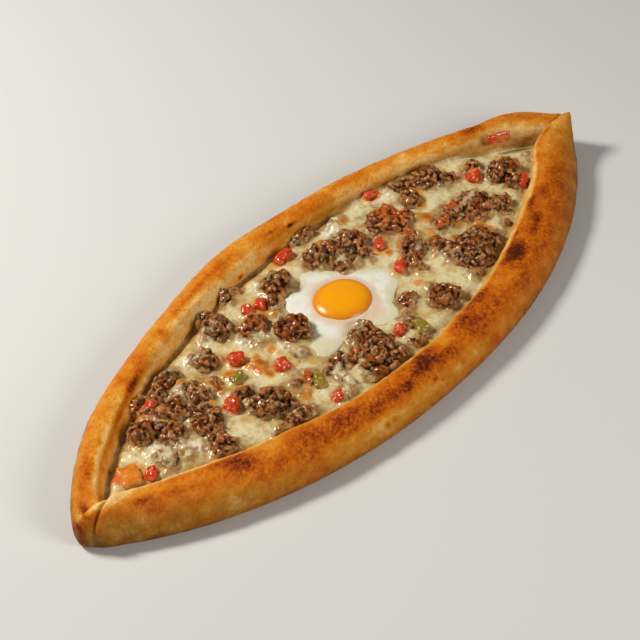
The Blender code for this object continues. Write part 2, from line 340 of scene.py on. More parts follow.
def add_mesh(name, points, faces, attributes=None):
    """Makes a smooth-shaded object, with each attribute as one number for every point."""
    mesh = bpy.data.meshes.new(name)
    mesh.from_pydata(np.asarray(points, float), [], faces)
    for key, values in (attributes or {}).items():
        layer = mesh.attributes.new(key, "FLOAT", "POINT")
        layer.data.foreach_set("value", np.asarray(values, np.float32))
    mesh.update()
    mesh.shade_smooth()
    piece = bpy.data.objects.new(name, mesh)
    bpy.context.scene.collection.objects.link(piece)
    return piece


def mesh_points(mesh):
    """Vertex places of a mesh as rows of numbers."""
    flat = np.empty(len(mesh.vertices) * 3, np.float32)
    mesh.vertices.foreach_get("co", flat)
    return flat.reshape(-1, 3).astype(float)


def set_points(mesh, points):
    """Writes vertex places back to a mesh."""
    mesh.vertices.foreach_set("co", np.asarray(points, np.float32).ravel())
    mesh.update()


def dress(piece, finish, nodes):
    """Gives the piece its finish, rides it on the body and lets it stand for its CAD nodes."""
    piece.data.materials.clear()
    piece.data.materials.append(finish)
    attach(piece, "root")
    if nodes:
        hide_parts(*nodes)


# ---------------------------------------------------------------- settings shown in the sidebar


def length(name, text, default):
    """A size in metres."""
    return FloatProperty(name=name, description=text, default=default, min=0.0, max=0.2, precision=5, unit="LENGTH")


def share(name, text, default, high=1.0):
    """A plain number from 0 up."""
    return FloatProperty(name=name, description=text, default=default, min=0.0, max=high)


def colour(name, text, default):
    """A linear colour."""
    return FloatVectorProperty(
        name=name, description=text, default=default, min=0.0, max=1.0, size=3, subtype="COLOR"
    )


class BreadSettings(bpy.types.PropertyGroup):
    """Relief and colours of the crust."""

    swell_size: length("Swell size", "Width of the broad unevenness of the rim", 0.034)
    swell_height: length("Swell height", "Height of the broad unevenness", 0.0011)
    blister_size: length("Blister size", "Width of the blisters", 0.0095)
    blister_height: length("Blister height", "Height of the blisters", 0.0008)
    wrinkle_size: length("Wrinkle size", "Width of the fine wrinkles", 0.0034)
    wrinkle_height: length("Wrinkle height", "Height of the fine wrinkles", 0.00036)
    raw: colour("Pale dough", "Dough that the heat hardly reached", tone(244, 202, 128))
    golden: colour("Golden dough", "Lightly baked dough", tone(224, 148, 42))
    amber: colour("Amber crust", "Evenly browned crust", tone(202, 104, 6))
    brown: colour("Brown crust", "Strongly browned crust", tone(148, 60, 4))
    scorched: colour("Scorched crust", "Toasted spots", tone(78, 28, 4))
    # Painted shade: the lower wall and the shaded inner wall are mixed towards this underside colour.
    underside: colour("Underside", "Dull, dry dough low on the wall", tone(92, 54, 14))


class CheeseSettings(bpy.types.PropertyGroup):
    """Relief and colours of the melted cheese."""

    level: length("Level", "Mean height of the melted cheese", 0.0142)
    mound_size: length("Mound size", "Width of the soft mounds", 0.016)
    mound_height: length("Mound height", "Height of the soft mounds", 0.0008)
    curd_size: length("Curd size", "Width of the half-melted curds", 0.0034)
    curd_height: length("Curd height", "Height of the curds", 0.0006)
    creep: length("Creep", "How far the cheese climbs on what lies in it", 0.0030)
    creep_reach: length("Creep reach", "How far from a topping the climb begins", 0.0030)
    cream: colour("Cream", "Thick melted cheese", tone(213, 202, 158))
    curd: colour("Curd", "Half-melted curds", tone(234, 228, 206))
    # The thin and gravy colours also serve as painted shade along the walls of the pocket.
    thin: colour("Thin", "Thin, glassy cheese", tone(186, 154, 88))
    gravy: colour("Gravy", "Cheese next to the meat", tone(148, 104, 52))
    stain: colour("Stain", "Cheese stained by fat", tone(206, 146, 62))
    juice: colour("Pepper juice", "Cheese stained by the peppers", tone(204, 88, 16))
    browned: colour("Browned cheese", "Cheese browned by the oven", tone(200, 130, 46))
    blistered: colour("Blistered cheese", "Darkest middle of the browned bubbles", tone(142, 66, 10))


class MeatSettings(bpy.types.PropertyGroup):
    """Crumble and colours of the fried ground meat."""

    nodule: length("Nodule", "Radius of the larger crumbs", 0.0029)
    nodule_density: FloatProperty(
        name="Nodule density", description="Larger crumbs to a square metre", default=56000.0, min=0.0
    )
    granule: length("Granule", "Radius of the fine crumbs", 0.0014)
    granule_density: FloatProperty(
        name="Granule density", description="Fine crumbs to a square metre", default=50000.0, min=0.0
    )
    grain: length("Grain", "Size of the cells that melt the crumbs together", 0.00060)
    seed: IntProperty(name="Seed", description="Arrangement of the crumbs", default=7, min=0)
    light: colour("Fried meat", "Outside of the crumbs", tone(158, 84, 24))
    rosy: colour("Rosy meat", "Paler, rosier crumbs", tone(180, 118, 64))
    umber: colour("Umber meat", "Darker, drier crumbs", tone(68, 32, 4))
    # Painted shade: the dark colour fills the gaps between the crumbs.
    dark: colour("Dark meat", "Gaps between the crumbs", tone(28, 6, 0))
    glazed: colour("Glazed meat", "Crumbs stained by fat and pepper", tone(186, 86, 18))
    # The film colour also makes the painted highlight on the proudest crumbs.
    film: colour("Film", "Thin cheese and fat on the clumps", tone(190, 160, 112))


class PepperSettings(bpy.types.PropertyGroup):
    """Form and colours of the diced peppers."""

    firmness: FloatProperty(name="Firmness", description="How sharp the cut edges stay", default=0.45, min=0.0, max=1.0)
    red: colour("Red pepper", "Skin of the red pepper", tone(200, 56, 8))
    red_flesh: colour("Red flesh", "Cut side of the red pepper", tone(216, 112, 40))
    green: colour("Green pepper", "Skin of the green pepper", tone(130, 114, 18))
    green_flesh: colour("Green flesh", "Cut side of the green pepper", tone(180, 150, 58))
    roast: colour("Roast pepper", "Roasted orange pepper", tone(210, 122, 24))
    roast_flesh: colour("Roast flesh", "Paler side of the roasted pepper", tone(226, 166, 72))
    film: colour("Cheese film", "Thin cheese on the dice", tone(216, 168, 118))


class EggSettings(bpy.types.PropertyGroup):
    """Colours of the baked egg."""

    white: colour("Egg white", "Thick egg white", tone(228, 227, 220))
    thin: colour("Thinner egg white", "Duller stretches of the egg white", tone(206, 200, 182))
    rosy: colour("Rosy white", "Egg white round the yolk", tone(214, 186, 156))
    veil: colour("Veil", "Thin edge over the cheese", tone(210, 206, 176))
    yolk: colour("Yolk", "Egg yolk", tone(238, 158, 4))
    yolk_rim: colour("Yolk rim", "Edge of the yolk, where the white veils it", tone(226, 138, 14))


class StageSettings(bpy.types.PropertyGroup):
    """Floor, light and lens."""

    key: FloatProperty(name="Key light", description="Power of the main soft light", default=17.0, min=0.0)
    fill: FloatProperty(name="Fill light", description="Power of the front light", default=9.0, min=0.0)
    ambient: FloatProperty(name="Ambient", description="Brightness of the surroundings", default=0.14, min=0.0)
    floor: colour("Floor", "Plain pale floor", (0.62, 0.62, 0.62))
    lens: FloatProperty(name="Lens", description="Focal length in millimetres", default=101.25, min=1.0)


# ---------------------------------------------------------------- the bread's form

COLUMNS = 900
WALL_ROWS = 13
ROLL_ROWS = 56
FAN_SHARE = 0.6


def lens_edge(angle, quarters):
    """Points of a lens-shaped outline; angle 0 is the right end and a quarter turn is the back."""
    along = np.cos(angle)
    back = np.sin(angle) >= 0.0
    right = along >= 0.0
    x = np.zeros_like(angle)
    across = np.zeros_like(angle)
    for (side, end), (half_width, reach, power, fullness) in quarters.items():
        chosen = (back == (side == "back")) & (right == (end == "right"))
        x[chosen] = reach * along[chosen]
        across[chosen] = half_width * np.maximum(0.0, 1.0 - np.abs(along[chosen]) ** power) ** fullness
    for middle, spread, out in BACK_SWELLS if quarters is OUTER else ():
        across += np.where(back, out * bell(x - middle, spread), 0.0)
    y = np.where(back, across, -across) + END_DRIFT * (x / HALF_LENGTH) ** 2
    return x - MIDDLE[0], y - MIDDLE[1]


def even_angles(count):
    """Angles that step evenly along the outer edge."""
    fine = np.linspace(0.0, 2.0 * math.pi, 24001)
    x, y = lens_edge(fine, OUTER)
    run = np.concatenate([[0.0], np.cumsum(np.hypot(np.diff(x), np.diff(y)))])
    return np.interp(np.arange(count) * run[-1] / count, run, fine)


def from_end(angle, end):
    """Signed turn from one of the two ends, between -pi and pi."""
    return (angle - end + math.pi) % (2.0 * math.pi) - math.pi


def rim_height(angle):
    """The crest rises to the right tip, dips a little beside the left end and lies lower along the front."""
    height = RIM_HEIGHT + 0.0006 * np.sin(5.0 * angle + 0.4) + 0.0004 * np.sin(9.0 * angle + 2.0)
    height += END_RISE * bell(from_end(angle, 0.0), 0.42) + SHOULDER_RISE * bell(from_end(angle, SHOULDER), 0.16)
    front = ease(-np.sin(angle), 0.15, 0.6)
    height -= front * (0.0005 + 0.0006 * ease(-np.cos(angle), 0.15, 0.45))
    return height - LEFT_DIP * bell(from_end(angle, math.pi), 0.35)


def fold_step(angle):
    """How far the dough stands proud at the tucked folds of both ends, with a crease beside each."""
    step = np.zeros_like(angle)
    for end, toward, corner_turn, corner_spread, corner, crease_turn, crease_spread, crease in FOLDS:
        turn = toward * from_end(angle, end)
        step += corner * bell(turn - corner_turn, corner_spread)
        step -= crease * bell(turn - crease_turn, crease_spread)
    return step


def crest_lean(angle):
    """Power that shifts the crest across the rim: under 1 towards the pocket, over 1 outwards."""
    front = ease(-np.sin(angle), 0.02, 0.35)
    shoulder = SHOULDER_LEAN * bell(from_end(angle, SHOULDER), 0.15)
    return 1.0 - NEAR_LEAN * front + TIP_LEAN * bell(from_end(angle, -0.03), 0.10) + shoulder


def rim_profile():
    """Rows from the edge of the underside over the roll to the pocket: (share of the width, lift)."""
    wall = 0.5 * math.pi * (1.0 - np.arange(WALL_ROWS) / WALL_ROWS)
    roll = math.pi * np.arange(ROLL_ROWS + 1) / ROLL_ROWS
    power = 2.0 / RIM_SQUARENESS
    across = 0.5 - 0.5 * np.copysign(np.abs(np.cos(roll)) ** power, np.cos(roll))
    shares = np.concatenate([BASE_TUCK * (1.0 - np.cos(wall)), across])
    lifts = np.concatenate([-np.sin(wall), np.maximum(0.0, np.sin(roll)) ** power])
    return shares, lifts


def crust_points(angle):
    """Rows of points of the crust, from the underside's edge over the rim to the pocket's floor."""
    shares, lifts = rim_profile()
    outer = np.stack(lens_edge(angle, OUTER), 1)
    pocket = np.stack(lens_edge(angle, POCKET), 1)
    width = np.linalg.norm(outer - pocket, axis=1)
    step = fold_step(angle)
    top = rim_height(angle) + step
    lean = crest_lean(angle)
    full = 1.0 - TIP_FULLNESS * bell(from_end(angle, -0.24), 0.12)
    full = full - TIP_FULLNESS * bell(from_end(angle, SHOULDER), 0.15)
    inward = bell(from_end(angle, FLAP_TURN), FLAP_SPREAD)[:, None] * np.array(FLAP)
    rows = []
    for across, lift in zip(shares, lifts):
        low = lift < 0.0
        z = RIM_BELLY * (1.0 + lift) + 0.0 * top if low else RIM_BELLY + (top - RIM_BELLY) * lift**full
        across = across if low else across**lean
        across = across - (0.35 + 0.65 * max(lift, 0.0)) * step / width * (1.0 - across)
        flat = outer + (pocket - outer) * across[:, None] + inward * np.sqrt(max(lift, 0.0)) * ease(across, 0.1, 0.5)[:, None]
        rows.append(np.column_stack([flat, z]))
    rows.append(np.column_stack([pocket, np.full(len(angle), DOUGH_FLOOR)]))
    return np.array(rows), shares, lifts


def fit_inside(points, low, high):
    """Draws a shape in, if it needs it, to stay in a box, keeping its underside on the floor."""
    middle = np.array([0.5 * (low.x + high.x), 0.5 * (low.y + high.y), low.z])
    half = np.array([0.5 * (high.x - low.x), 0.5 * (high.y - low.y), high.z - low.z])
    points[:, 2] = np.maximum(points[:, 2], low.z)
    reach = np.abs(points - middle).max(0)
    return middle + (points - middle) * np.minimum(1.0, half / reach)


# ---------------------------------------------------------------- geometry node trees


def new_tree(name, inputs):
    """Geometry tree with named inputs: returns its graph, the inputs by name and the output node."""
    tree = bpy.data.node_groups.new(name, "GeometryNodeTree")
    for label, kind in [("Geometry", "NodeSocketGeometry"), *inputs]:
        tree.interface.new_socket(label, in_out="INPUT", socket_type=kind)
    tree.interface.new_socket("Geometry", in_out="OUTPUT", socket_type="NodeSocketGeometry")
    graph = Graph(tree)
    entry = tree.nodes.new("NodeGroupInput")
    ends = {socket.name: Wire(graph, socket) for socket in entry.outputs if socket.name}
    return graph, ends, tree.nodes.new("NodeGroupOutput")


def close_tree(graph, geometry, finish, out):
    """Every tree ends in real geometry with its finish."""
    real = graph.node("GeometryNodeRealizeInstances", {}, {0: geometry})
    done = graph.node("GeometryNodeSetMaterial", {}, {"Geometry": real, "Material": finish})
    graph.tree.links.new(done.socket, out.inputs[0])
    return graph.tree


def grow(piece, tree, values, remesh=0.0):
    """Runs a tree on a piece with the given input values and keeps the result as a plain mesh."""
    modifier = piece.modifiers.new(tree.name, "NODES")
    modifier.node_group = tree
    for item in tree.interface.items_tree:
        if item.item_type == "SOCKET" and item.in_out == "INPUT" and item.name in values:
            modifier[item.identifier] = values[item.name]
    if remesh:
        melt = piece.modifiers.new("Melt together", "REMESH")
        melt.mode = "VOXEL"
        melt.voxel_size = remesh
    shaped = piece.evaluated_get(bpy.context.evaluated_depsgraph_get())
    mesh = bpy.data.meshes.new_from_object(shaped)
    piece.modifiers.clear()
    old = piece.data
    piece.data = mesh
    bpy.data.meshes.remove(old)
    return piece


def bread_tree():
    """Swells, blisters and wrinkles the dough along its normals."""
    graph, ends, out = new_tree(
        "Bread relief",
        [
            ("Swell Size", "NodeSocketFloat"),
            ("Swell Height", "NodeSocketFloat"),
            ("Blister Size", "NodeSocketFloat"),
            ("Blister Height", "NodeSocketFloat"),
            ("Wrinkle Size", "NodeSocketFloat"),
            ("Wrinkle Height", "NodeSocketFloat"),
            ("Seed", "NodeSocketFloat"),
            ("Finish", "NodeSocketMaterial"),
        ],
    )
    place = graph.node("GeometryNodeInputPosition")
    normal = graph.node("GeometryNodeInputNormal")
    loose = graph.node("GeometryNodeInputNamedAttribute", {"data_type": "FLOAT"}, {"Name": "loose"})
    drawn_out = graph.node("ShaderNodeCombineXYZ", {}, {0: 0.45, 1: 1.0, 2: 1.0})
    total = None
    for label, stretched in (("Swell", False), ("Blister", False), ("Wrinkle", True)):
        where = place * drawn_out if stretched else place
        one = graph.node("ShaderNodeMath", {"operation": "DIVIDE"}, {0: 1.0, 1: ends[label + " Size"]})
        sockets = {"Vector": where, "W": ends["Seed"], "Scale": one, "Detail": 2.0}
        cloudy = graph.node("ShaderNodeTexNoise", {"noise_dimensions": "4D"}, sockets)
        height = (cloudy - 0.5) * 2.0 * ends[label + " Height"]
        total = height if total is None else total + height
    offset = normal * graph.node("ShaderNodeCombineXYZ", {}, {0: total * loose, 1: total * loose, 2: total * loose})
    moved = graph.node("GeometryNodeSetPosition", {}, {"Geometry": ends["Geometry"], "Offset": offset})
    return close_tree(graph, moved, ends["Finish"], out)


# ---------------------------------------------------------------- crust

# Browner and paler patches of the rim: (x in millimetres, height up the roll from base 0 to pocket 1, half length
# in millimetres, half height as a share of the roll, change of the bake)
NEAR_PATCHES = (
    (-205, 0.64, 14, 0.09, -0.12),
    (-212, 0.60, 14, 0.16, -0.16),
    (-226, 0.50, 4, 0.30, -0.14),
    (-229, 0.32, 1.0, 0.22, 0.50),
    (-223.5, 0.46, 1.4, 0.06, 0.45),
    (-226.5, 0.36, 1.2, 0.07, 0.34),
    (-212, 0.58, 5, 0.09, -0.16),
    (172, 0.66, 16, 0.045, -0.22),
    (198, 0.56, 12, 0.05, -0.18),
    (-178, 0.30, 4, 0.04, 0.10),
    (-192, 0.34, 5, 0.05, 0.10),
    (-196, 0.49, 9, 0.06, 0.16),
    (-172, 0.50, 8, 0.05, 0.12),
    (-172, 0.63, 8, 0.045, 0.18),
    (-150, 0.61, 13, 0.05, 0.24),
    (-142, 0.54, 7, 0.09, 0.26),
    (-124, 0.56, 9, 0.11, -0.08),
    (-103, 0.54, 9, 0.09, 0.14),
    (-80, 0.53, 16, 0.05, 0.16),
    (-58, 0.44, 14, 0.08, 0.20),
    (-45, 0.52, 9, 0.06, 0.16),
    (-16, 0.57, 8, 0.075, 0.46),
    (-24, 0.50, 9, 0.05, 0.26),
    (-36, 0.43, 5, 0.04, 0.18),
    (-2, 0.46, 7, 0.05, 0.20),
    (5, 0.60, 6, 0.09, -0.14),
    (23, 0.575, 7, 0.05, 0.34),
    (34, 0.50, 9, 0.05, 0.16),
    (44, 0.70, 9, 0.055, 0.46),
    (52, 0.62, 11, 0.05, 0.20),
    (72, 0.56, 10, 0.10, -0.06),
    (76, 0.68, 6, 0.04, 0.16),
    (93, 0.63, 9, 0.075, 0.52),
    (99, 0.56, 6, 0.05, 0.40),
    (112, 0.69, 11, 0.035, 0.32),
    (121, 0.53, 4, 0.035, 0.26),
    (131, 0.555, 5, 0.045, 0.34),
    (147, 0.65, 7, 0.035, 0.28),
    (138, 0.66, 5, 0.04, 0.24),
    (166, 0.66, 9, 0.03, 0.26),
    (156, 0.57, 5, 0.04, 0.20),
    (176, 0.50, 12, 0.07, 0.12),
    (182, 0.66, 6, 0.04, 0.26),
    (199, 0.61, 8, 0.05, 0.20),
    (-35, 0.27, 62, 0.075, -0.24),
    (-150, 0.27, 40, 0.09, -0.06),
    (-135, 0.31, 6, 0.05, 0.12),
    (-105, 0.35, 8, 0.05, 0.10),
    (-61, 0.24, 1.8, 0.022, 0.40),
    (-55, 0.25, 1.5, 0.02, 0.34),
    (-18, 0.32, 1.8, 0.02, 0.40),
    (-14, 0.28, 1.4, 0.02, 0.34),
    (5, 0.27, 1.6, 0.02, 0.32),
    (30, 0.33, 1.6, 0.02, 0.26),
    (210, 0.52, 24, 0.26, -0.26),
    (206, 0.60, 3.5, 0.05, 0.26),
    (218, 0.66, 2.5, 0.04, 0.26),
)
FAR_PATCHES = (
    # Painted highlight: this paler stretch of the back-left crest stands in for the egg-wash sheen.
    (-186, 0.71, 30, 0.055, -0.30),
    (-60, 0.78, 50, 0.09, -0.10),
    (120, 0.68, 50, 0.06, -0.12),
    (128, 0.86, 60, 0.06, 0.12),
    (-62, 0.69, 4, 0.03, -0.14),
    (-40, 0.72, 3, 0.03, -0.14),
    (0, 0.70, 4, 0.03, -0.12),
    (16, 0.67, 5, 0.02, 0.14),
    (-190, 0.83, 34, 0.06, 0.12),
    (-134, 0.72, 10, 0.045, 0.46),
    (-146, 0.75, 14, 0.03, 0.30),
    (-156, 0.80, 26, 0.025, 0.20),
    (-205, 0.55, 12, 0.05, 0.14),
    (-196, 0.58, 4, 0.05, 0.16),
    (-120, 0.64, 5, 0.05, 0.16),
    (-95, 0.66, 3.0, 0.09, 0.26),
    (-88, 0.71, 8, 0.10, -0.16),
    (-66, 0.70, 14, 0.06, -0.16),
    (-60, 0.60, 34, 0.025, 0.16),
    (-45, 0.80, 22, 0.05, -0.12),
    (-16, 0.74, 8, 0.03, -0.16),
    (-22, 0.90, 2.0, 0.02, 0.70),
    (-10, 0.66, 30, 0.06, 0.10),
    (29, 0.745, 2.8, 0.022, 0.75),
    (25, 0.76, 7, 0.05, 0.20),
    (48, 0.72, 14, 0.07, 0.16),
    (40, 0.86, 24, 0.05, 0.16),
    (110, 0.80, 60, 0.08, -0.14),
    (85, 0.60, 20, 0.05, 0.10),
    (178, 0.60, 8, 0.06, 0.42),
    (172, 0.70, 6, 0.06, 0.20),
    (205, 0.60, 10, 0.06, 0.16),
    (200, 0.80, 26, 0.10, -0.16),
    (-223, 0.60, 2.6, 0.08, 0.55),
    (-221, 0.55, 2.5, 0.06, 0.35),
    (-229, 0.38, 1.2, 0.20, 0.50),
    (-224, 0.48, 6, 0.10, -0.16),
    (-196, 0.66, 3, 0.04, 0.24),
    (-203, 0.62, 2.5, 0.04, 0.24),
    (-181, 0.66, 2.5, 0.03, 0.20),
)


def bake_map(points, lifts):
    """How strongly each point of the crust is browned: 0 is pale dough and 1 is scorched. Paler stretches at the
    crest's inner edge and on the back-left crest are partly painted highlight.
    """
    rows, columns, _ = points.shape
    flat = points.reshape(-1, 3)
    x = flat[:, 0]
    up = np.repeat(np.arange(rows) / (rows - 1), columns)
    back = np.tile(np.sin(even_angles(columns)) >= 0.0, rows)
    crest = bell(up - 0.56, 0.17)
    # The crest's inner edge is paler: partly paler dough, partly a painted highlight along the edge.
    pale_edge_and_highlight = bell(up - 0.74, 0.06)
    near = 0.42 + 0.10 * crest * ease(x, -0.22, -0.06) - 0.22 * pale_edge_and_highlight - 0.26 * ease(up, 0.74, 0.86)
    near += 0.14 * bell(up - 0.40, 0.10) + 0.10 * bell(up - 0.50, 0.07) * ease(-x, 0.11, 0.16)
    near -= 0.10 * ease(-x, 0.12, 0.17) + 0.12 * bell(up - 0.74, 0.07) * (ease(-x, 0.09, 0.16) + 0.6 * ease(x, 0.04, 0.09))
    far = 0.34 + 0.04 * crest - 0.16 * ease(up, 0.74, 0.84)
    bake = np.where(back, far, near)
    ragged = 1.0 + 0.30 * noise(flat, 0.007, seed=21) + 0.18 * noise(flat, 0.003, seed=22)
    for patches, side in ((NEAR_PATCHES, ~back), (FAR_PATCHES, back)):
        for middle, height, along, tall, change in patches:
            gap = ((x / MM - middle) / along) ** 2 + ((up - height) / tall) ** 2
            bake += np.where(side, change * np.exp(-0.8 * gap * ragged), 0.0)
    bake += 0.09 * cloud(flat, 0.022, 3, seed=5) + 0.06 * cloud(flat, 0.007, 3, seed=9)
    bake = np.where(up < 0.03, 0.34, bake)
    return np.clip(bake, 0.0, 1.0)


def crust_finish(bread):
    """Baked dough: browning from the mesh's bake map, flour-fine speckles, small pits, a soft egg-wash gloss, and
    painted shade that darkens the wall towards the underside colour.
    """
    finish = Finish("Baked crust", Specular_IOR_Level=0.10)
    speckle = finish.noise(0.0022, detail=4.0, roughness=0.7)
    mottle = finish.noise(0.009, detail=3.0, roughness=0.6)
    streak = finish.noise(0.004, detail=2.0, stretch=(0.35, 1.0, 1.0))
    bake = finish.attribute("bake")
    grain = bake.ease(0.4, 0.75) * 0.9 + 0.4
    bake = bake + (speckle - 0.5) * grain + (mottle - 0.5) * 0.34 + (streak - 0.5) * 0.12
    stops = [
        (0.06, tuple(bread.raw)),
        (0.28, tuple(bread.golden)),
        (0.50, tuple(bread.amber)),
        (0.74, tuple(bread.brown)),
        (0.97, tuple(bread.scorched)),
    ]
    # Painted shade: the dull attribute mixes the crust towards the underside colour low on the wall and on the shaded
    # inner wall.
    dull = finish.attribute("dull") * (0.6 + (mottle - 0.5) * 0.8)
    finish.paint("Base Color", finish.mix(dull, finish.ramp(bake, stops), tuple(bread.underside)))
    finish.paint("Roughness", mottle.spread(0.3, 0.7, 0.32, 0.56))
    fine = finish.noise(0.0012, detail=3.0, roughness=0.6)
    finish.relief(speckle * 0.5 + fine * 0.3 + mottle * 0.4, 0.0022)
    return finish.material


class PIDE_OT_bread(bpy.types.Operator):
    """Make the bread boat with its rolled, folded and toasted rim"""

    bl_idname = "pide.bread"
    bl_label = "Bread"

    def execute(self, context):
        bread = context.scene.pide_bread
        finish = crust_finish(bread)
        points, shares, lifts = crust_points(even_angles(COLUMNS))
        rows = len(points)
        centre = points[-1].mean(0)
        base_inner = points[0] * (FAN_SHARE, FAN_SHARE, 1.0)
        floor_inner = points[-1] * (FAN_SHARE, FAN_SHARE, 1.0)
        stack = np.concatenate([base_inner[None], points, floor_inner[None]])
        flat = stack.reshape(-1, 3)
        bake = np.concatenate([np.full(COLUMNS, 0.34), bake_map(points, lifts), np.full(COLUMNS, 0.2)])
        loose = np.repeat(np.concatenate([[0.0, 0.0], ease(lifts[1:], -0.9, -0.1), [0.0, 0.0]]), COLUMNS)
        faces = grid_faces(rows + 2, COLUMNS, closed=True)
        first = list(range(COLUMNS))
        last = list(range((rows + 1) * COLUMNS, (rows + 2) * COLUMNS))
        tips = len(flat)
        faces += fan_faces(first, tips, turned=True) + fan_faces(last, tips + 1)
        flat = np.concatenate([flat, [[0.0, 0.0, 0.0], [0.0, 0.0, DOUGH_FLOOR]]])
        up = (np.arange(rows) / (rows - 1))[:, None]
        # Painted shade: darker towards the underside and more so at both ends, and darker on the back's inner wall
        # right of the middle and at the right end, where the rim shades it.
        ends = ease(np.abs(points[:, :, 0]), 0.10, 0.21)
        dull = 1.0 - ease(up, 0.04, 0.38 + 0.24 * ends)
        dull = dull * (1.0 + 0.4 * np.maximum(ease(points[:, :, 0], 0.02, 0.10), 0.5 * ease(-points[:, :, 0], 0.14, 0.20)))
        behind = points[:, :, 1] > 0.0
        dull = dull + ease(up, 0.79, 0.90) * (0.7 * ease(points[:, :, 0], 0.0, 0.06) - 0.4 * ease(points[:, :, 0], 0.13, 0.18)) * behind
        dull = dull + 0.36 * ease(up, 0.58, 0.66) * ease(points[:, :, 0], 0.14, 0.19) * behind
        low = np.concatenate([np.zeros(COLUMNS), dull.ravel(), np.zeros(COLUMNS)])
        attributes = {
            "bake": np.append(bake, [0.34, 0.2]),
            "loose": np.append(loose, [0.0, 0.0]),
            "dull": np.append(low, [0.0, 0.0]),
        }
        piece = add_mesh("bread_crust", flat, faces, attributes)
        values = {
            "Swell Size": bread.swell_size,
            "Swell Height": bread.swell_height,
            "Blister Size": bread.blister_size,
            "Blister Height": bread.blister_height,
            "Wrinkle Size": bread.wrinkle_size,
            "Wrinkle Height": bread.wrinkle_height,
            "Seed": 3.0,
            "Finish": finish,
        }
        grow(piece, bread_tree(), values)
        set_points(piece.data, fit_inside(mesh_points(piece.data), *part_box("crust")))
        dress(piece, finish, ["crust"])
        return {"FINISHED"}


# ---------------------------------------------------------------- footprints of the toppings

DIRECTIONS = np.linspace(0.0, 2.0 * math.pi, 24, endpoint=False)
NORMALS = np.stack([np.cos(DIRECTIONS), np.sin(DIRECTIONS)], 1)


def cad_points(name):
    """Places of a solid's points."""
    return mesh_points(frame["nodes"][name].data)


def outside(x, y, name):
    """Distance of each place from a topping's convex footprint, negative under it."""
    support = (cad_points(name)[:, :2] @ NORMALS.T).max(0)
    reach = 8.0 * MM
    low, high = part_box(name)
    distance = np.full(len(x), 1.0)
    close = (x > low.x - reach) & (x < high.x + reach) & (y > low.y - reach) & (y < high.y + reach)
    distance[close] = (np.stack([x[close], y[close]], 1) @ NORMALS.T - support).max(1)
    return distance


def nearest(x, y, names):
    """Distance of each place from the nearest of the named toppings."""
    distance = np.full(len(x), 1.0)
    for name in names:
        distance = np.minimum(distance, outside(x, y, name))
    return distance


# ---------------------------------------------------------------- meat

# Smaller lumps beside the clumps, in millimetres and degrees: (x, y, half length, half width, turn, height)
LUMPS = (
    (-61, -26, 5.5, 3.6, 20, 4.0),
    (-68, -22, 3.6, 2.6, 0, 3.2),
    (-148, 13, 6, 5, 0, 5),
    (-142, 6, 5, 4, 30, 4.5),
    (-125, 35, 9, 5, 20, 5),
    (-141, 38, 8, 3.5, 25, 4.5),
    (-127, 11, 5, 5, 0, 5),
    (-120, 2, 5, 4, 0, 4.5),
    (-111, 21, 5, 4, 0, 5),
    (-152, -14, 4.5, 3, 0, 3.5),
    (-152, 15, 4, 4, 0, 4),
    (-143, 28, 5, 4, 0, 5),
    (-133, 12, 4.5, 4, 0, 4),
    (-134, 31, 4, 4, 0, 4.5),
    (-155, 24, 4, 3.5, 0, 4),
    (-24, -57, 7, 4.5, 0, 6),
    (-12, -56, 5, 3.5, 0, 5),
    (-33, -55, 6, 4, 0, 5),
    (-49, -39, 4, 3.5, 0, 4),
    (-49, -47, 4.5, 3.5, 0, 4),
    (-57, -50, 4, 3, 0, 3.5),
    (-101, 12, 3.5, 6, 0, 4),
    (-96, -5, 5, 4, 0, 5),
    (-102, -41, 5, 3.5, 0, 4),
    (-86, -44, 7, 4, 10, 4.5),
    (-73, -32, 3.5, 4, 0, 3.5),
    (-49, -33, 5, 4, 0, 5),
    (-47, 30, 6, 6, 0, 6),
    (-57, 17, 5, 3.5, 0, 3.5),
    (-48, -8, 4, 3.5, 0, 3.5),
    (-62, 59, 8, 3, 8, 4),
    (-40, 61, 9, 3.5, 3, 4.5),
    (-26, 34, 6, 4, 40, 5),
    (-15, -37, 8, 5, 0, 8),
    (-31, -38, 7, 6, 0, 7),
    (2, -57, 7, 3.5, 0, 4),
    (12, -43, 4, 4, 0, 4),
    (17, -37, 4, 3.5, 0, 4),
    (33, 31, 6, 6, 0, 6.5),
    (43, 19, 7, 5, 0, 6),
    (33, 41, 6, 5, 0, 6),
    (58, -8, 6, 6, 0, 6),
    (55, -15, 5, 4, 0, 5),
    (42, -39, 6, 5, 0, 6),
    (32, 62, 9, 3.5, -3, 4),
    (55, 56, 5, 3.5, 0, 3.5),
    (84, 21, 7, 7, 0, 6),
    (81, 34, 8, 6, 0, 7),
    (76, 9, 5, 4.5, 0, 5),
    (79, -11, 6, 6, 0, 5),
    (78, -21, 7, 5, 0, 7),
    (98, -26, 9, 7, 0, 8),
    (86, -42, 9, 6, 0, 7),
    (104, -35, 7, 6, 0, 7),
    (74, -45, 5, 4, 0, 4),
    (95, -2, 4.5, 4.5, 0, 5),
    (111, 5, 5, 4, 0, 5),
    (116, -12, 7, 6, 0, 6),
    (127, -15, 7, 5, 0, 6),
    (121, 39, 6, 5, 0, 6),
    (134, 25, 5, 6, 0, 6),
    (131, -24, 4, 3, 0, 4),
    (154, 19, 6, 4.5, 30, 5),
    (158, -12, 7, 6, 0, 7),
    (190, -7, 5, 4, 0, 4),
    (123, -32, 4, 3, 0, 3),
)
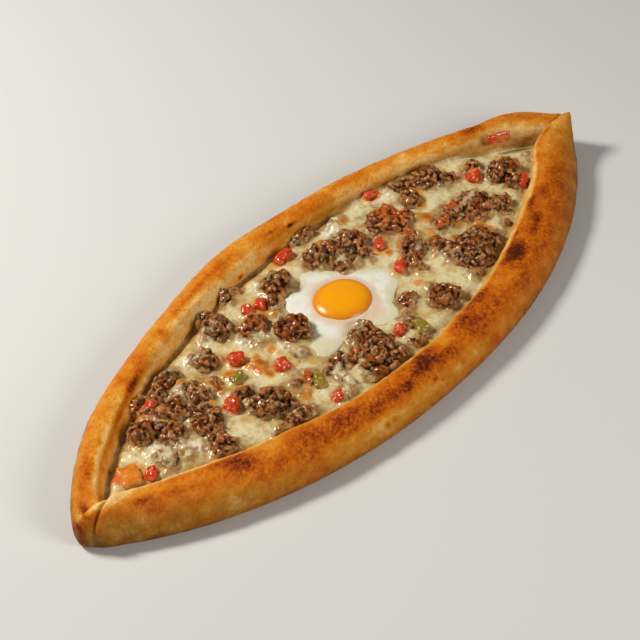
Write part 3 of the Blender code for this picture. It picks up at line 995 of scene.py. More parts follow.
# Places where melted cheese veils the meat, in millimetres: (x, y, radius, strength)
VEILED = (
    (-160, -4, 9, 0.9),
    (-151, -13, 7, 0.9),
    (-168, 15, 5, 0.5),
    (-104, 40, 8, 0.6),
    (-93, 38, 6, 0.7),
    (-57, 17, 7, 0.9),
    (-48, -8, 6, 0.9),
    (-74, 46, 7, 0.5),
    (-22, 50, 8, 0.5),
    (-14, -21, 6, 0.6),
    (-40, -42, 7, 0.4),
    (29, 23, 7, 0.5),
    (57, 54, 6, 0.9),
    (66, -6, 5, 0.4),
    (121, -2, 7, 0.5),
    (70, -24, 6, 0.6),
    (90, -30, 8, 0.3),
    (30, -34, 5, 0.6),
    (-49, -39, 5, 0.9),
    (-50, -47, 6, 0.8),
    (-57, -50, 5, 0.9),
)
# Clumps glazed by fat and pepper juice, in millimetres: (x, y, radius, strength)
GLAZED = (
    (-63, -25, 9, 0.9),
    (-71, -35, 7, 0.8),
    (78, 30, 15, 1.0),
    (76, 9, 8, 1.0),
    (94, -2, 7, 1.0),
    (111, 6, 7, 1.0),
    (118, -13, 9, 0.7),
    (126, 3, 8, 0.6),
    (-52, 28, 8, 0.7),
    (-101, 12, 6, 0.9),
    (-92, -16, 8, 0.5),
    (-30, -38, 9, 0.5),
    (48, 30, 9, 0.4),
    (-140, 18, 10, 0.5),
    (45, -50, 8, 0.4),
    (-5, -20, 5, 0.8),
)
MEAT_PARTS = (("left", -1.0, -0.062), ("middle", -0.062, 0.050), ("right", 0.050, 1.0))
SKIN = 0.0006  # the crumbs stand this far out of a clump's core


def spot_sum(points, spots):
    """Strongest of a list of soft round spots (x, y, radius, strength in millimetres) at each place."""
    total = np.zeros(len(points))
    for x, y, radius, strength in spots:
        away = np.hypot(points[:, 0] / MM - x, points[:, 1] / MM - y)
        total = np.maximum(total, strength * bell(away, radius))
    return total


def merged_copy(name, cuts=0):
    """Points and faces of a solid with its doubled points merged, each edge cut into more if asked."""
    builder = bmesh.new()
    builder.from_mesh(frame["nodes"][name].data)
    bmesh.ops.remove_doubles(builder, verts=builder.verts, dist=1e-6)
    if cuts:
        bmesh.ops.triangulate(builder, faces=builder.faces)
        bmesh.ops.subdivide_edges(builder, edges=builder.edges, cuts=cuts, use_grid_fill=True)
    points = np.array([tuple(vert.co) for vert in builder.verts])
    faces = [[vert.index for vert in face.verts] for face in builder.faces]
    builder.free()
    return points, faces


def lump(half_length, half_width, height, turn, seed):
    """Points and faces of one uneven lump about the origin."""
    builder = bmesh.new()
    bmesh.ops.create_icosphere(builder, subdivisions=3, radius=1.0)
    points = np.array([tuple(vert.co) for vert in builder.verts])
    faces = [[vert.index for vert in face.verts] for face in builder.faces]
    builder.free()
    points *= (1.0 + 0.25 * noise(points + 3.0 * seed, 0.9, seed))[:, None]
    points *= np.array([half_length - 0.8, half_width - 0.8, height - 0.8]) * MM
    cos_turn, sin_turn = math.cos(turn), math.sin(turn)
    spin = np.array([[cos_turn, sin_turn, 0.0], [-sin_turn, cos_turn, 0.0], [0.0, 0.0, 1.0]])
    return points @ spin, faces


def meat_cores(low_x, high_x):
    """Cores of the clumps and lumps whose middles lie in the given stretch of the boat."""
    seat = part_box("egg_white")[0].z
    all_points, all_faces, count = [], [], 0
    for name in CLUMP_NODES:
        low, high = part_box(name)
        middle = 0.5 * (low + high)
        if not low_x <= middle.x < high_x:
            continue
        points, faces = merged_copy(name, cuts=2)
        half = 0.5 * (np.array(high) - np.array(low))
        keep = (half - SKIN) / half
        keep[2] = (2.0 * half[2] - 1.6 * SKIN) / (2.0 * half[2])
        centre = np.array([middle.x, middle.y, low.z])
        points = centre + (points - centre) * keep
        away = points - np.array([middle.x, middle.y, seat])
        away /= np.linalg.norm(away, axis=1, keepdims=True).clip(1e-6)
        points += away * (0.0011 * cloud(points, 0.0075, 2, seed=12))[:, None]
        points[:, 2] = np.where(points[:, 2] < seat + 0.0002, seat - 0.0012, points[:, 2])
        all_points.append(points)
        all_faces += [[count + corner for corner in face] for face in faces]
        count += len(points)
    for seed, (x, y, half_length, half_width, turn, height) in enumerate(LUMPS):
        if not low_x <= x * MM < high_x:
            continue
        points, faces = lump(half_length, half_width, height, math.radians(turn), seed)
        all_points.append(points + (x * MM, y * MM, seat))
        all_faces += [[count + corner for corner in face] for face in faces]
        count += len(points)
    return np.concatenate(all_points), all_faces


def crumble_tree():
    """Covers a core with larger crumbs and these with fine ones."""
    graph, ends, out = new_tree(
        "Meat crumble",
        [
            ("Nodule", "NodeSocketFloat"),
            ("Nodule Density", "NodeSocketFloat"),
            ("Granule", "NodeSocketFloat"),
            ("Granule Density", "NodeSocketFloat"),
            ("Seed", "NodeSocketInt"),
            ("Finish", "NodeSocketMaterial"),
        ],
    )
    body = ends["Geometry"]
    for step, label in enumerate(("Nodule", "Granule")):
        sockets = {"Mesh": body, "Density": ends[label + " Density"], "Seed": ends["Seed"] + step}
        spots = graph.node("GeometryNodeDistributePointsOnFaces", {"distribute_method": "RANDOM"}, sockets)
        ball = graph.node("GeometryNodeMeshIcoSphere", {}, {"Radius": ends[label], "Subdivisions": 2})
        size = graph.node(
            "FunctionNodeRandomValue",
            {"data_type": "FLOAT_VECTOR"},
            {0: (0.6, 0.6, 0.6), 1: (1.3, 1.3, 1.2), "Seed": ends["Seed"] + step + 5},
        )
        turn = graph.node(
            "FunctionNodeRandomValue",
            {"data_type": "FLOAT_VECTOR"},
            {0: (0.0, 0.0, 0.0), 1: (6.28, 6.28, 6.28), "Seed": ends["Seed"] + step + 9},
        )
        sockets = {"Points": spots, "Instance": ball, "Scale": size, "Rotation": turn}
        balls = graph.node("GeometryNodeInstanceOnPoints", {}, sockets)
        real = graph.node("GeometryNodeRealizeInstances", {}, {0: balls})
        join = graph.node("GeometryNodeJoinGeometry")
        graph.tree.links.new(real.socket, join.socket.node.inputs[0])
        graph.tree.links.new(body.socket, join.socket.node.inputs[0])
        body = join
    return close_tree(graph, body, ends["Finish"], out)


def neighbour_mean(points, edges, rounds):
    """Places averaged over their neighbours a number of times."""
    count = np.bincount(edges.ravel(), minlength=len(points))[:, None].clip(1)
    smooth = points
    for _ in range(rounds):
        total = np.zeros_like(points)
        for axis in range(3):
            total[:, axis] = np.bincount(edges[:, 0], smooth[edges[:, 1], axis], minlength=len(points))
            total[:, axis] += np.bincount(edges[:, 1], smooth[edges[:, 0], axis], minlength=len(points))
        smooth = 0.5 * smooth + 0.5 * total / count
    return smooth


def mesh_edges(mesh):
    """Pairs of point numbers joined by an edge."""
    flat = np.empty(len(mesh.edges) * 2, np.int32)
    mesh.edges.foreach_get("vertices", flat)
    return flat.reshape(-1, 2)


def mesh_normals(mesh):
    """Normals at the points of a mesh."""
    flat = np.empty(len(mesh.vertices) * 3, np.float32)
    mesh.vertices.foreach_get("normal", flat)
    return flat.reshape(-1, 3).astype(float)


def put_attribute(mesh, name, values):
    """Stores one number for every point."""
    layer = mesh.attributes.get(name) or mesh.attributes.new(name, "FLOAT", "POINT")
    layer.data.foreach_set("value", np.asarray(values, np.float32))


def meat_finish(meat, cheese):
    """Fried meat: brown crumbs, dark gaps, glazed zones, a film of cheese, oily gloss."""
    finish = Finish("Fried meat", Specular_IOR_Level=0.06, Coat_Roughness=0.14)
    fleck = finish.noise(0.0019, detail=3.0, roughness=0.65)
    patch = finish.noise(0.008, detail=2.0)
    tint = finish.noise(0.012, detail=1.0)
    crumb = finish.noise(0.0036, detail=1.0)
    proud = finish.attribute("proud") + (fleck - 0.5) * 1.1
    light = finish.mix(tint.ease(0.4, 0.58), tuple(meat.light), tuple(meat.rosy))
    light = finish.mix(crumb.ease(0.46, 0.62) * 0.8, light, tuple(meat.umber))
    # Painted shade: where the crumbs are least proud, in the gaps between them, the colour goes to the dark colour.
    body = finish.mix(proud.ease(0.05, 0.8), tuple(meat.dark), light)
    glaze = finish.attribute("glaze") + (patch - 0.5) * 1.4
    body = finish.mix(glaze.ease(0.35, 0.9) * proud.ease(0.0, 0.5) * 0.85, body, tuple(meat.glazed))
    film = finish.attribute("film") + (patch - 0.5) * 1.6 + (fleck - 0.5) * 0.6
    body = finish.mix(film.ease(0.45, 1.0) * 0.9, body, tuple(meat.film))
    # Pale film on the proudest crumbs: partly real fat, partly a painted highlight.
    fat = finish.noise(0.0046, detail=2.0)
    body = finish.mix(fat.ease(0.5, 0.68) * proud.ease(0.5, 1.0) * 0.75, body, tuple(meat.film))
    veil = finish.attribute("veil") + (finish.noise(0.0055, detail=3.0) - 0.5) * 2.2
    body = finish.mix(veil.ease(0.2, 0.9) * 0.9, body, tuple(cheese.cream))
    finish.paint("Base Color", body)
    finish.paint("Roughness", fleck.spread(0.3, 0.7, 0.18, 0.5))
    finish.paint("Coat Weight", proud.spread(0.35, 0.8, 0.0, 1.0))
    finish.relief(finish.noise(0.0011, detail=2.0), 0.0007)
    return finish.material


class PIDE_OT_meat(bpy.types.Operator):
    """Make the clumps and loose crumbs of fried ground meat"""

    bl_idname = "pide.meat"
    bl_label = "Meat"

    def execute(self, context):
        meat = context.scene.pide_meat
        finish = meat_finish(meat, context.scene.pide_cheese)
        tree = crumble_tree()
        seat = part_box("egg_white")[0].z
        for label, low_x, high_x in MEAT_PARTS:
            points, faces = meat_cores(low_x, high_x)
            piece = add_mesh(f"meat_{label}", points, faces)
            values = {
                "Nodule": meat.nodule,
                "Nodule Density": meat.nodule_density,
                "Granule": meat.granule,
                "Granule Density": meat.granule_density,
                "Seed": meat.seed,
                "Finish": finish,
            }
            grow(piece, tree, values, remesh=meat.grain)
            mesh = piece.data
            points = mesh_points(mesh)
            edges = mesh_edges(mesh)
            normals = mesh_normals(mesh)
            points = neighbour_mean(points, edges, 4)
            broad = neighbour_mean(points, edges, 8)
            # How far each point stands out; the finish paints shade in the gaps and a highlight on the proudest crumbs.
            proud = 0.45 + ((points - broad) * normals).sum(1) / 0.0005
            points += normals * (0.00014 * noise(points, 0.0013, 41))[:, None]
            set_points(mesh, points)
            mesh.shade_smooth()
            film = 1.0 - (points[:, 2] - seat) / 0.0072
            put_attribute(mesh, "proud", np.clip(proud, 0.0, 1.0))
            put_attribute(mesh, "glaze", spot_sum(points, GLAZED))
            put_attribute(mesh, "veil", spot_sum(points, VEILED))
            put_attribute(mesh, "film", np.clip(film, 0.0, 1.0))
            stood_for = []
            for name in CLUMP_NODES:
                low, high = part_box(name)
                if low_x <= 0.5 * (low.x + high.x) < high_x:
                    stood_for.append(name)
            dress(piece, finish, stood_for)
        return {"FINISHED"}


# ---------------------------------------------------------------- cheese

CHEESE_ALONG = 560
CHEESE_ACROSS = 158
# Browned bubbles of the cheese in millimetres: (x, y, radius, strength)
BUBBLES = (
    (95.6, 11, 5.5, 1.0),
    (103, 22, 4, 0.9),
    (113, 34, 4.5, 0.9),
    (118, 33, 4, 0.8),
    (109, -21, 4.5, 1.0),
    (111, -26, 4, 0.9),
    (92, -14.5, 3.4, 0.9),
    (86, 0.5, 2.8, 0.8),
    (74, 10, 5, 0.9),
    (62, 6, 3, 0.6),
    (54, 9, 3.6, 0.9),
    (69, 2, 3, 0.7),
    (59, 51, 3, 0.8),
    (31, 49, 3.5, 0.8),
    (26, 46, 3, 0.6),
    (44, -24, 4, 0.5),
    (-3, -20, 3.5, 0.8),
    (-99, 13, 4, 0.9),
    (-100, 8, 3.4, 0.7),
    (-89, 13, 4.4, 0.9),
    (-71, 4, 5, 1.0),
    (-73, -5, 4.4, 0.9),
    (-68, 10, 3.6, 0.8),
    (-57, 8, 3.6, 0.6),
    (-57, 2, 3, 0.5),
    (-112, 30, 3.6, 0.7),
    (-110, 5, 3.4, 0.6),
    (-62, -27, 4.4, 0.7),
    (-74, -33, 4, 0.8),
    (-34, 28, 4, 0.6),
    (-34, 39, 4.5, 0.9),
    (-50, 36, 3.4, 0.6),
    (-22, 33, 3.4, 0.6),
    (-83, 26, 3.0, 0.7),
    (-77, 10, 3.0, 0.8),
)
# Stretches of cheese stained by fat and peppers, in millimetres: (x, y, radius, strength)
STAINS = (
    (-104, 12, 10, 0.8),
    (-112, 28, 6, 0.5),
    (-88, 12, 8, 0.8),
    (-78, 20, 10, 1.0),
    (-72, 2, 10, 1.0),
    (-105, -5, 9, 0.9),
    (-95, 0, 8, 0.7),
    (-62, -6, 8, 1.0),
    (-56, 8, 6, 0.6),
    (-62, -30, 9, 0.8),
    (-74, -33, 7, 0.8),
    (-62, -49, 6, 0.7),
    (-56, 38, 6, 0.6),
    (-45, -12, 6, 0.5),
    (-38, 41, 9, 1.0),
    (-34, 29, 6, 0.6),
    (-22, 34, 6, 0.6),
    (14, 40, 8, 0.5),
    (28, 49, 8, 0.9),
    (14, 28, 6, 0.4),
    (9, 55, 9, 0.8),
    (53, 14, 9, 1.0),
    (48, -5, 8, 0.7),
    (24, -19, 6, 0.5),
    (45, -23, 8, 0.7),
    (64, 5, 8, 0.9),
    (-5, -19, 6, 0.7),
    (3, -42, 6, 0.7),
    (14, -47, 7, 0.4),
    (76, 12, 9, 0.9),
    (66, -18, 6, 0.5),
    (95, 11, 9, 0.9),
    (103, 22, 7, 0.8),
    (114, 34, 8, 0.8),
    (84, -2, 6, 0.6),
    (92, -14, 6, 0.6),
    (110, -22, 9, 0.9),
    (104, -8, 9, 0.7),
    (131, -22, 6, 0.5),
    (150, 14, 8, 0.8),
    (60, 50, 6, 0.5),
    (162, -17, 7, 0.8),
    (-180, 0, 14, 0.9),
    (-140, 27, 9, 0.7),
    (-150, 12, 12, 0.4),
)
# Places in millimetres where the cheese set in white, half-melted curds: (x, y, radius, strength)
CURDS = (
    (-157, 9, 7, 0.9),
    (-162, -1, 7, 1.0),
    (-142, -15, 7, 0.9),
    (-146, -4, 6, 0.7),
    (-120, 25, 7, 0.8),
    (-128, -8, 7, 0.6),
    (-96, 41, 6, 0.7),
    (-75, 45, 6, 0.9),
    (-60, 24, 7, 0.8),
    (-50, 13, 6, 0.5),
    (-104, -35, 8, 0.5),
    (-48, -2, 7, 0.5),
    (-22, 52, 7, 0.7),
    (47, 53, 7, 1.0),
    (76, 53, 7, 0.5),
    (97, 45, 6, 1.0),
    (122, -3, 6, 0.6),
    (-67, -38, 6, 0.5),
    (72, -22, 5, 0.5),
    (168, 10, 8, 0.5),
    (33, 26, 6, 0.5),
)


def meat_reach(x, y, level):
    """Distance of each place on the cheese from the meat that rises out of it there."""
    near = []
    for label, _, _ in MEAT_PARTS:
        points = mesh_points(bpy.data.objects["meat_" + label].data)
        near.append(points[np.abs(points[:, 2] - level) < 0.0009, :2])
    near = np.concatenate(near)
    tree = KDTree(len(near))
    for number, (meat_x, meat_y) in enumerate(near.tolist()):
        tree.insert((meat_x, meat_y, 0.0), number)
    tree.balance()
    return np.array([tree.find((px, py, 0.0))[2] for px, py in zip(x.tolist(), y.tolist())])


def cheese_relief(cheese, x, y):
    """Height of the cheese and what colours it, at each place."""
    flat = flat_points(x, y)
    meat_gap = meat_reach(x, y, cheese.level)
    sunk_in = [name for name in RED_NODES if name != WALL_STRIP]
    pepper_gap = nearest(x, y, sunk_in + ROAST_NODES)
    gap = np.minimum(meat_gap, nearest(x, y, sunk_in + GREEN_NODES + ROAST_NODES))
    egg_gap = outside(x, y, "egg_white")
    climb = np.exp(-np.maximum(gap, 0.0) / cheese.creep_reach)
    curd = spot_sum(flat, CURDS)
    veil = spot_sum(flat, VEILED)
    brown = np.zeros(len(x))
    dome = np.zeros(len(x))
    for bx, by, radius, strength in BUBBLES:
        away = np.hypot(x / MM - bx, y / MM - by) / radius
        away *= 1.0 + 0.3 * noise(flat, 0.005, seed=int(bx + 400))
        brown = np.maximum(brown, strength * (1.0 - ease(away, 0.2, 1.4)))
        dome = np.maximum(dome, strength * np.sqrt(np.maximum(0.0, 1.0 - away**2)))
    lumps = cloud(flat, cheese.curd_size, 2, seed=4) + 0.5 * np.abs(cloud(flat, 0.0024, 1, seed=5))
    height = cheese.level + cheese.mound_height * cloud(flat, cheese.mound_size, 3, seed=2)
    height += cheese.curd_height * (0.6 + 1.3 * curd + 0.8 * veil) * lumps
    height += cheese.creep * climb * np.clip(0.45 + 1.3 * noise(flat, 0.010, seed=8), 0.0, 1.2)
    height += 0.0009 * dome + 0.0010 * curd + 0.0016 * veil
    height -= 0.0014 * (1.0 - ease(egg_gap, -0.004, 0.003))
    return height, brown, curd, meat_gap, pepper_gap


def cheese_finish(cheese):
    """Melted cheese: cream and thin zones, gravy round the meat, stains, browned bubbles, wet gloss. Thin and gravy
    colours also stand for painted shade along the walls.
    """
    finish = Finish("Melted cheese", Subsurface_Weight=0.1, Subsurface_Scale=0.003, Specular_IOR_Level=0.42)
    finish.shader.inputs["Subsurface Radius"].default_value = (1.0, 0.7, 0.3)
    patch = finish.noise(0.014, detail=4.0, roughness=0.6)
    blot = finish.noise(0.006, detail=3.0, roughness=0.6)
    fleck = finish.noise(0.0026, detail=3.0)
    thick = finish.attribute("thick") + (patch - 0.5) * 3.0 + (blot - 0.5) * 1.4 + (fleck - 0.5) * 0.15
    body = finish.mix(thick.ease(0.0, 0.8), tuple(cheese.thin), tuple(cheese.cream))
    curd = finish.attribute("curd") + (patch - 0.5) * 1.6 + (blot - 0.5) * 2.0 + (fleck - 0.5) * 0.5
    body = finish.mix(curd.ease(0.25, 0.95), body, tuple(cheese.curd))
    gravy = finish.attribute("gravy") + (blot - 0.5) * 2.4 + (fleck - 0.5) * 0.4
    body = finish.mix(gravy.ease(0.35, 1.1) * 0.9, body, tuple(cheese.gravy))
    stain = finish.attribute("stain") + (blot - 0.5) * 2.4 + (fleck - 0.5) * 0.3
    body = finish.mix(stain.ease(0.3, 1.1) * 0.85, body, tuple(cheese.stain))
    juice = finish.attribute("juice") + (blot - 0.5) * 1.0 + (fleck - 0.5) * 0.4
    body = finish.mix(juice.ease(0.3, 1.0) * 0.85, body, tuple(cheese.juice))
    brown = finish.attribute("brown") + (fleck - 0.5) * 0.3 + (blot - 0.5) * 0.4
    body = finish.mix(brown.ease(0.05, 0.7), body, tuple(cheese.browned))
    body = finish.mix(brown.ease(0.6, 1.2), body, tuple(cheese.blistered))
    finish.paint("Base Color", body)
    finish.paint("Roughness", blot.spread(0.3, 0.7, 0.12, 0.34))
    finish.relief(finish.noise(0.0046, detail=1.0, roughness=0.4), 0.0004)
    return finish.material


class PIDE_OT_cheese(bpy.types.Operator):
    """Make the melted cheese with its mounds, curds and browned bubbles"""

    bl_idname = "pide.cheese"
    bl_label = "Cheese"

    def execute(self, context):
        cheese = context.scene.pide_cheese
        turn = np.arccos(np.linspace(-1.0, 1.0, CHEESE_ALONG))
        front_x, front_y = lens_edge(-turn, POCKET)
        back_x, back_y = lens_edge(turn, POCKET)
        part = np.linspace(0.0, 1.0, CHEESE_ACROSS)[:, None]
        x = (front_x + (back_x - front_x) * part).ravel()
        y = (front_y + (back_y - front_y) * part).ravel()
        height, brown, curd, meat_gap, pepper_gap = cheese_relief(cheese, x, y)
        flat = flat_points(x, y)
        wide = np.tile(np.hypot(back_x - front_x, back_y - front_y), CHEESE_ACROSS)
        across = np.repeat(part.ravel(), CHEESE_ALONG)
        wall_gap = np.minimum(across, 1.0 - across) * wide
        back_gap = (1.0 - across) * wide
        # Along the back wall the cheese dips, and its colour is darkened there as painted shade of the back rim.
        back_dip_and_shade = bell(back_gap * (1.0 + 0.5 * noise(flat, 0.016, 6)), 0.0062) * (1.0 - ease(x, 0.03, 0.08))
        height -= 0.0032 * back_dip_and_shade + 0.0006 * bell(wall_gap - 0.003, 0.003)
        height += 0.0010 * bell(wall_gap, 0.0016)
        height -= 0.0034 * ease(x, 0.150, 0.180) * bell(back_gap, 0.014)
        count = len(x)
        bottom = DOUGH_FLOOR + 0.0005
        top = np.column_stack([x, y, height])
        base = np.column_stack([x, y, np.full(count, bottom)])
        faces = grid_faces(CHEESE_ACROSS, CHEESE_ALONG)
        edge = list(range(CHEESE_ALONG))
        edge += [row * CHEESE_ALONG + CHEESE_ALONG - 1 for row in range(1, CHEESE_ACROSS)]
        edge += [(CHEESE_ACROSS - 1) * CHEESE_ALONG + k for k in range(CHEESE_ALONG - 2, -1, -1)]
        edge += [row * CHEESE_ALONG for row in range(CHEESE_ACROSS - 2, 0, -1)]
        skirt = {point: count + k for k, point in enumerate(edge)}
        for a, b in zip(edge, edge[1:] + edge[:1]):
            faces.append((b, a, skirt[a], skirt[b]))
        faces += fan_faces([skirt[point] for point in edge], count + len(edge), turned=True)
        points = np.concatenate([top, base[edge], [[0.0, 0.0, bottom]]])
        mixed = {
            # Painted shade: the dip by the back wall is painted thin and gravy-coloured; next to the walls the cheese
            # is painted thinner, partly thin cheese and partly painted shade.
            "thick": 0.58 + 0.3 * curd - 0.3 * bell(wall_gap, 0.005) - 0.8 * back_dip_and_shade,
            "curd": curd,
            "stain": spot_sum(flat, STAINS),
            "gravy": np.exp(-np.maximum(meat_gap, 0.0) / 0.0062) + 0.55 * back_dip_and_shade,
            "juice": np.exp(-np.maximum(pepper_gap, 0.0) / 0.0026),
            "brown": brown,
        }
        attributes = {}
        for key, values in mixed.items():
            attributes[key] = np.append(np.clip(values, 0.0, 1.0), np.zeros(len(edge) + 1))
        piece = add_mesh("melted_cheese", points, faces, attributes)
        dress(piece, cheese_finish(cheese), ["cheese"])
        return {"FINISHED"}


# ---------------------------------------------------------------- egg

WHITE_AROUND = 240
WHITE_RINGS = 44
YOLK_AROUND = 96
YOLK_RINGS = 24


def egg_outline(count):
    """Middle of the yolk and the reach of the egg white in each direction."""
    low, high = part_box("egg_yolk")
    middle = np.array([0.5 * (low.x + high.x), 0.5 * (low.y + high.y)])
    points = cad_points("egg_white")
    away = points[:, :2] - middle
    turn = np.arctan2(away[:, 1], away[:, 0]) % (2.0 * math.pi)
    reach = np.hypot(away[:, 0], away[:, 1])
    rim = (reach > 0.005) & (points[:, 2] < points[:, 2].min() + 0.0002)
    order = np.argsort(turn[rim])
    angles = 2.0 * math.pi * np.arange(count) / count
    edge = np.interp(angles, turn[rim][order], reach[rim][order], period=2.0 * math.pi)
    kernel = np.exp(-np.linspace(-2.0, 2.0, 25) ** 2)
    wrapped = np.concatenate([edge[-12:], edge, edge[:12]])
    return middle, angles, np.convolve(wrapped, kernel / kernel.sum(), "valid")


def polar_piece(name, middle, angles, reaches, heights, attributes):
    """Closed dome from rings about one middle: the first ring is the rim of its flat underside."""
    rings, count = reaches.shape
    x = middle[0] + reaches * np.cos(angles)
    y = middle[1] + reaches * np.sin(angles)
    points = np.stack([x, y, heights], 2).reshape(-1, 3)
    faces = grid_faces(rings, count, closed=True)
    low, high = len(points), len(points) + 1
    faces += fan_faces(list(range(count)), low, turned=True)
    faces += fan_faces(list(range((rings - 1) * count, rings * count)), high)
    points = np.concatenate([points, [[*middle, heights[0].min()], [*middle, heights[-1].mean()]]])
    attributes = {key: np.append(values.ravel(), [values[0].mean(), values[-1].mean()]) for key, values in attributes.items()}
    return add_mesh(name, points, faces, attributes)


def white_finish(egg):
    """Set egg white: opaque where thick, rosy round the yolk, a veil at its thin edge, glossy."""
    finish = Finish("Set egg white", Subsurface_Weight=0.15, Subsurface_Scale=0.004, IOR=1.4)
    finish.shader.inputs["Subsurface Radius"].default_value = (1.0, 0.85, 0.7)
    cloudy = finish.noise(0.009, detail=3.0)
    body = finish.mix(cloudy.ease(0.35, 0.7) * 0.5, tuple(egg.white), tuple(egg.thin))
    ring = finish.attribute("ring") + (cloudy - 0.5) * 0.5
    body = finish.mix(ring.ease(0.2, 1.0) * 0.8, body, tuple(egg.rosy))
    veil = finish.attribute("veil") + (finish.noise(0.005, detail=3.0) - 0.5) * 0.5
    body = finish.mix(veil.ease(0.35, 1.0), body, tuple(egg.veil))
    finish.paint("Base Color", body)
    finish.paint("Roughness", cloudy.spread(0.3, 0.7, 0.14, 0.3))
    finish.relief(finish.noise(0.004, detail=2.0), 0.0005)
    return finish.material


def yolk_finish(egg):
    """Soft yolk: deep yellow, a touch duller at its rim, wet."""
    finish = Finish("Soft yolk", Subsurface_Weight=0.2, Subsurface_Scale=0.006, IOR=1.4, Coat_Roughness=0.06)
    finish.shader.inputs["Subsurface Radius"].default_value = (1.0, 0.5, 0.1)
    rim = finish.attribute("rim") + (finish.noise(0.004) - 0.5) * 0.2
    finish.paint("Base Color", finish.mix(rim.ease(0.55, 1.0), tuple(egg.yolk), tuple(egg.yolk_rim)))
    finish.paint("Roughness", rim.spread(0.4, 1.0, 0.16, 0.32))
    finish.relief(finish.noise(0.006, detail=1.0), 0.0003)
    return finish.material


class PIDE_OT_egg(bpy.types.Operator):
    """Make the egg white that runs over the cheese and the soft yolk"""

    bl_idname = "pide.egg"
    bl_label = "Egg"

    def execute(self, context):
        egg = context.scene.pide_egg
        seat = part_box("egg_white")[0].z
        yolk_low, yolk_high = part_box("egg_yolk")
        radius = 0.5 * (yolk_high.x - yolk_low.x)
        middle, angles, edge = egg_outline(WHITE_AROUND)
        ripple = 1.0 + 0.035 * np.sin(9 * angles + 1.0) + 0.025 * np.sin(17 * angles + 2.2)
        edge = radius + (edge - radius) * ripple * 1.05
        part = (1.0 - np.arange(WHITE_RINGS) / WHITE_RINGS)[:, None]
        reaches = np.concatenate([edge[None], edge * part])
        out = (reaches - radius) / (edge - radius)
        x = middle[0] + reaches * np.cos(angles)
        y = middle[1] + reaches * np.sin(angles)
        flat = flat_points(x.ravel(), y.ravel())
        lumps = cloud(flat, 0.009, 3, seed=31).reshape(reaches.shape)
        blob = spot_sum(flat, ((-20, 24, 9, 1.0), (2, 38, 5, 0.5), (36, 0, 6, 0.4))).reshape(reaches.shape)
        rounded = np.clip(1.0 - out**2, 0.0, 1.0) ** 0.7
        body = (0.0010 + 0.0003 * lumps + 0.0012 * blob) * rounded
        body += 0.0007 * bell(reaches - radius - 0.0002, 0.0030)
        heights = seat - 0.0001 + body
        heights[0] = seat - 0.0016
        spread_veil = 1.15 * ease(out, 0.25, 0.95) + 0.3 * lumps + 0.3 * ease(-x - 0.4 * y, 0.015, 0.035)
        veil = np.clip(spread_veil - 0.9 * blob, 0.0, 1.0)
        ring = np.clip(bell(reaches - radius, 0.007) + 0.7 * ease(-y - 0.2 * x, 0.010, 0.024) - blob, 0.0, 1.0)
        white = polar_piece("egg_white_set", middle, angles, reaches, heights, {"veil": veil, "ring": ring})
        dress(white, white_finish(egg), ["egg_white"])
        angles = 2.0 * math.pi * np.arange(YOLK_AROUND) / YOLK_AROUND
        turn = 0.5 * math.pi * (np.arange(YOLK_RINGS) / YOLK_RINGS)[:, None]
        wobble = 1.0 + 0.035 * np.cos(2 * angles + 0.1) + 0.008 * np.sin(3 * angles)
        reaches = (radius + 0.0007) * np.cos(turn) * wobble
        bottom = seat - 0.0002
        rise = 0.0068
        heights = bottom + rise * np.sin(turn) ** 0.82 + 0.0 * wobble
        rim = np.cos(turn) + 0.0 * wobble
        yolk = polar_piece("yolk_soft", middle, angles, reaches, heights, {"rim": rim})
        dress(yolk, yolk_finish(egg), ["egg_yolk"])
        return {"FINISHED"}


# ---------------------------------------------------------------- peppers


def pepper_finish(name, skin, flesh, film):
    """Cut pepper: skin on one side, paler flesh on the others, a broken film of cheese, wet."""
    constants = {"Subsurface_Weight": 0.15, "Subsurface_Scale": 0.003, "Specular_IOR_Level": 0.3}
    finish = Finish(name, Coat_Weight=0.7, Coat_Roughness=0.08, **constants)
    finish.shader.inputs["Subsurface Radius"].default_value = (1.0, 0.3, 0.1)
    fleck = finish.noise(0.0018, detail=3.0)
    side = finish.attribute("flesh") + (fleck - 0.5) * 0.9
    body = finish.mix(side.ease(0.35, 0.8), skin, flesh)
    shade = finish.noise(0.005, detail=2.0)
    dark = tuple(0.5 * part for part in skin)
    body = finish.mix(shade.ease(0.5, 0.75) * 0.7, body, dark)
    body = finish.mix(finish.noise(0.0036, detail=2.0).ease(0.52, 0.72) * 0.5, body, film)
    finish.paint("Base Color", body)
    finish.paint("Roughness", fleck.spread(0.3, 0.7, 0.12, 0.36))
    finish.relief(finish.noise(0.0026, detail=1.0), 0.0005)
    return finish.material


# Pieces that baked into another form: swelling along, across and upwards, and how far they moved
PEPPER_SHAPES = {
    "roast_pepper_01": (0.95, 2.1, 1.0, (0.0015, -0.0020, 0.0)),
    "roast_pepper_02": (0.9, 0.8, 0.9, (0.0, 0.0, -0.0008)),
    "red_pepper_01": (1.0, 1.1, 1.0, (0.0015, -0.0015, 0.0)),
    "red_pepper_12": (1.1, 1.0, 1.0, (0.0, 0.001, 0.0)),
    WALL_STRIP: (1.3, 0.7, 1.0, (-0.0010, 0.0042, 0.0048)),
}


def swell_along(points, along, across, tall):
    """Scales a piece along its own length, across it and upwards, about its middle."""
    middle = 0.5 * (points.min(0) + points.max(0))
    away = points - middle
    _, axes = np.linalg.eigh(away[:, :2].T @ away[:, :2])
    spun = away[:, :2] @ axes * (across, along)
    return middle + np.column_stack([spun @ axes.T, away[:, 2] * tall])


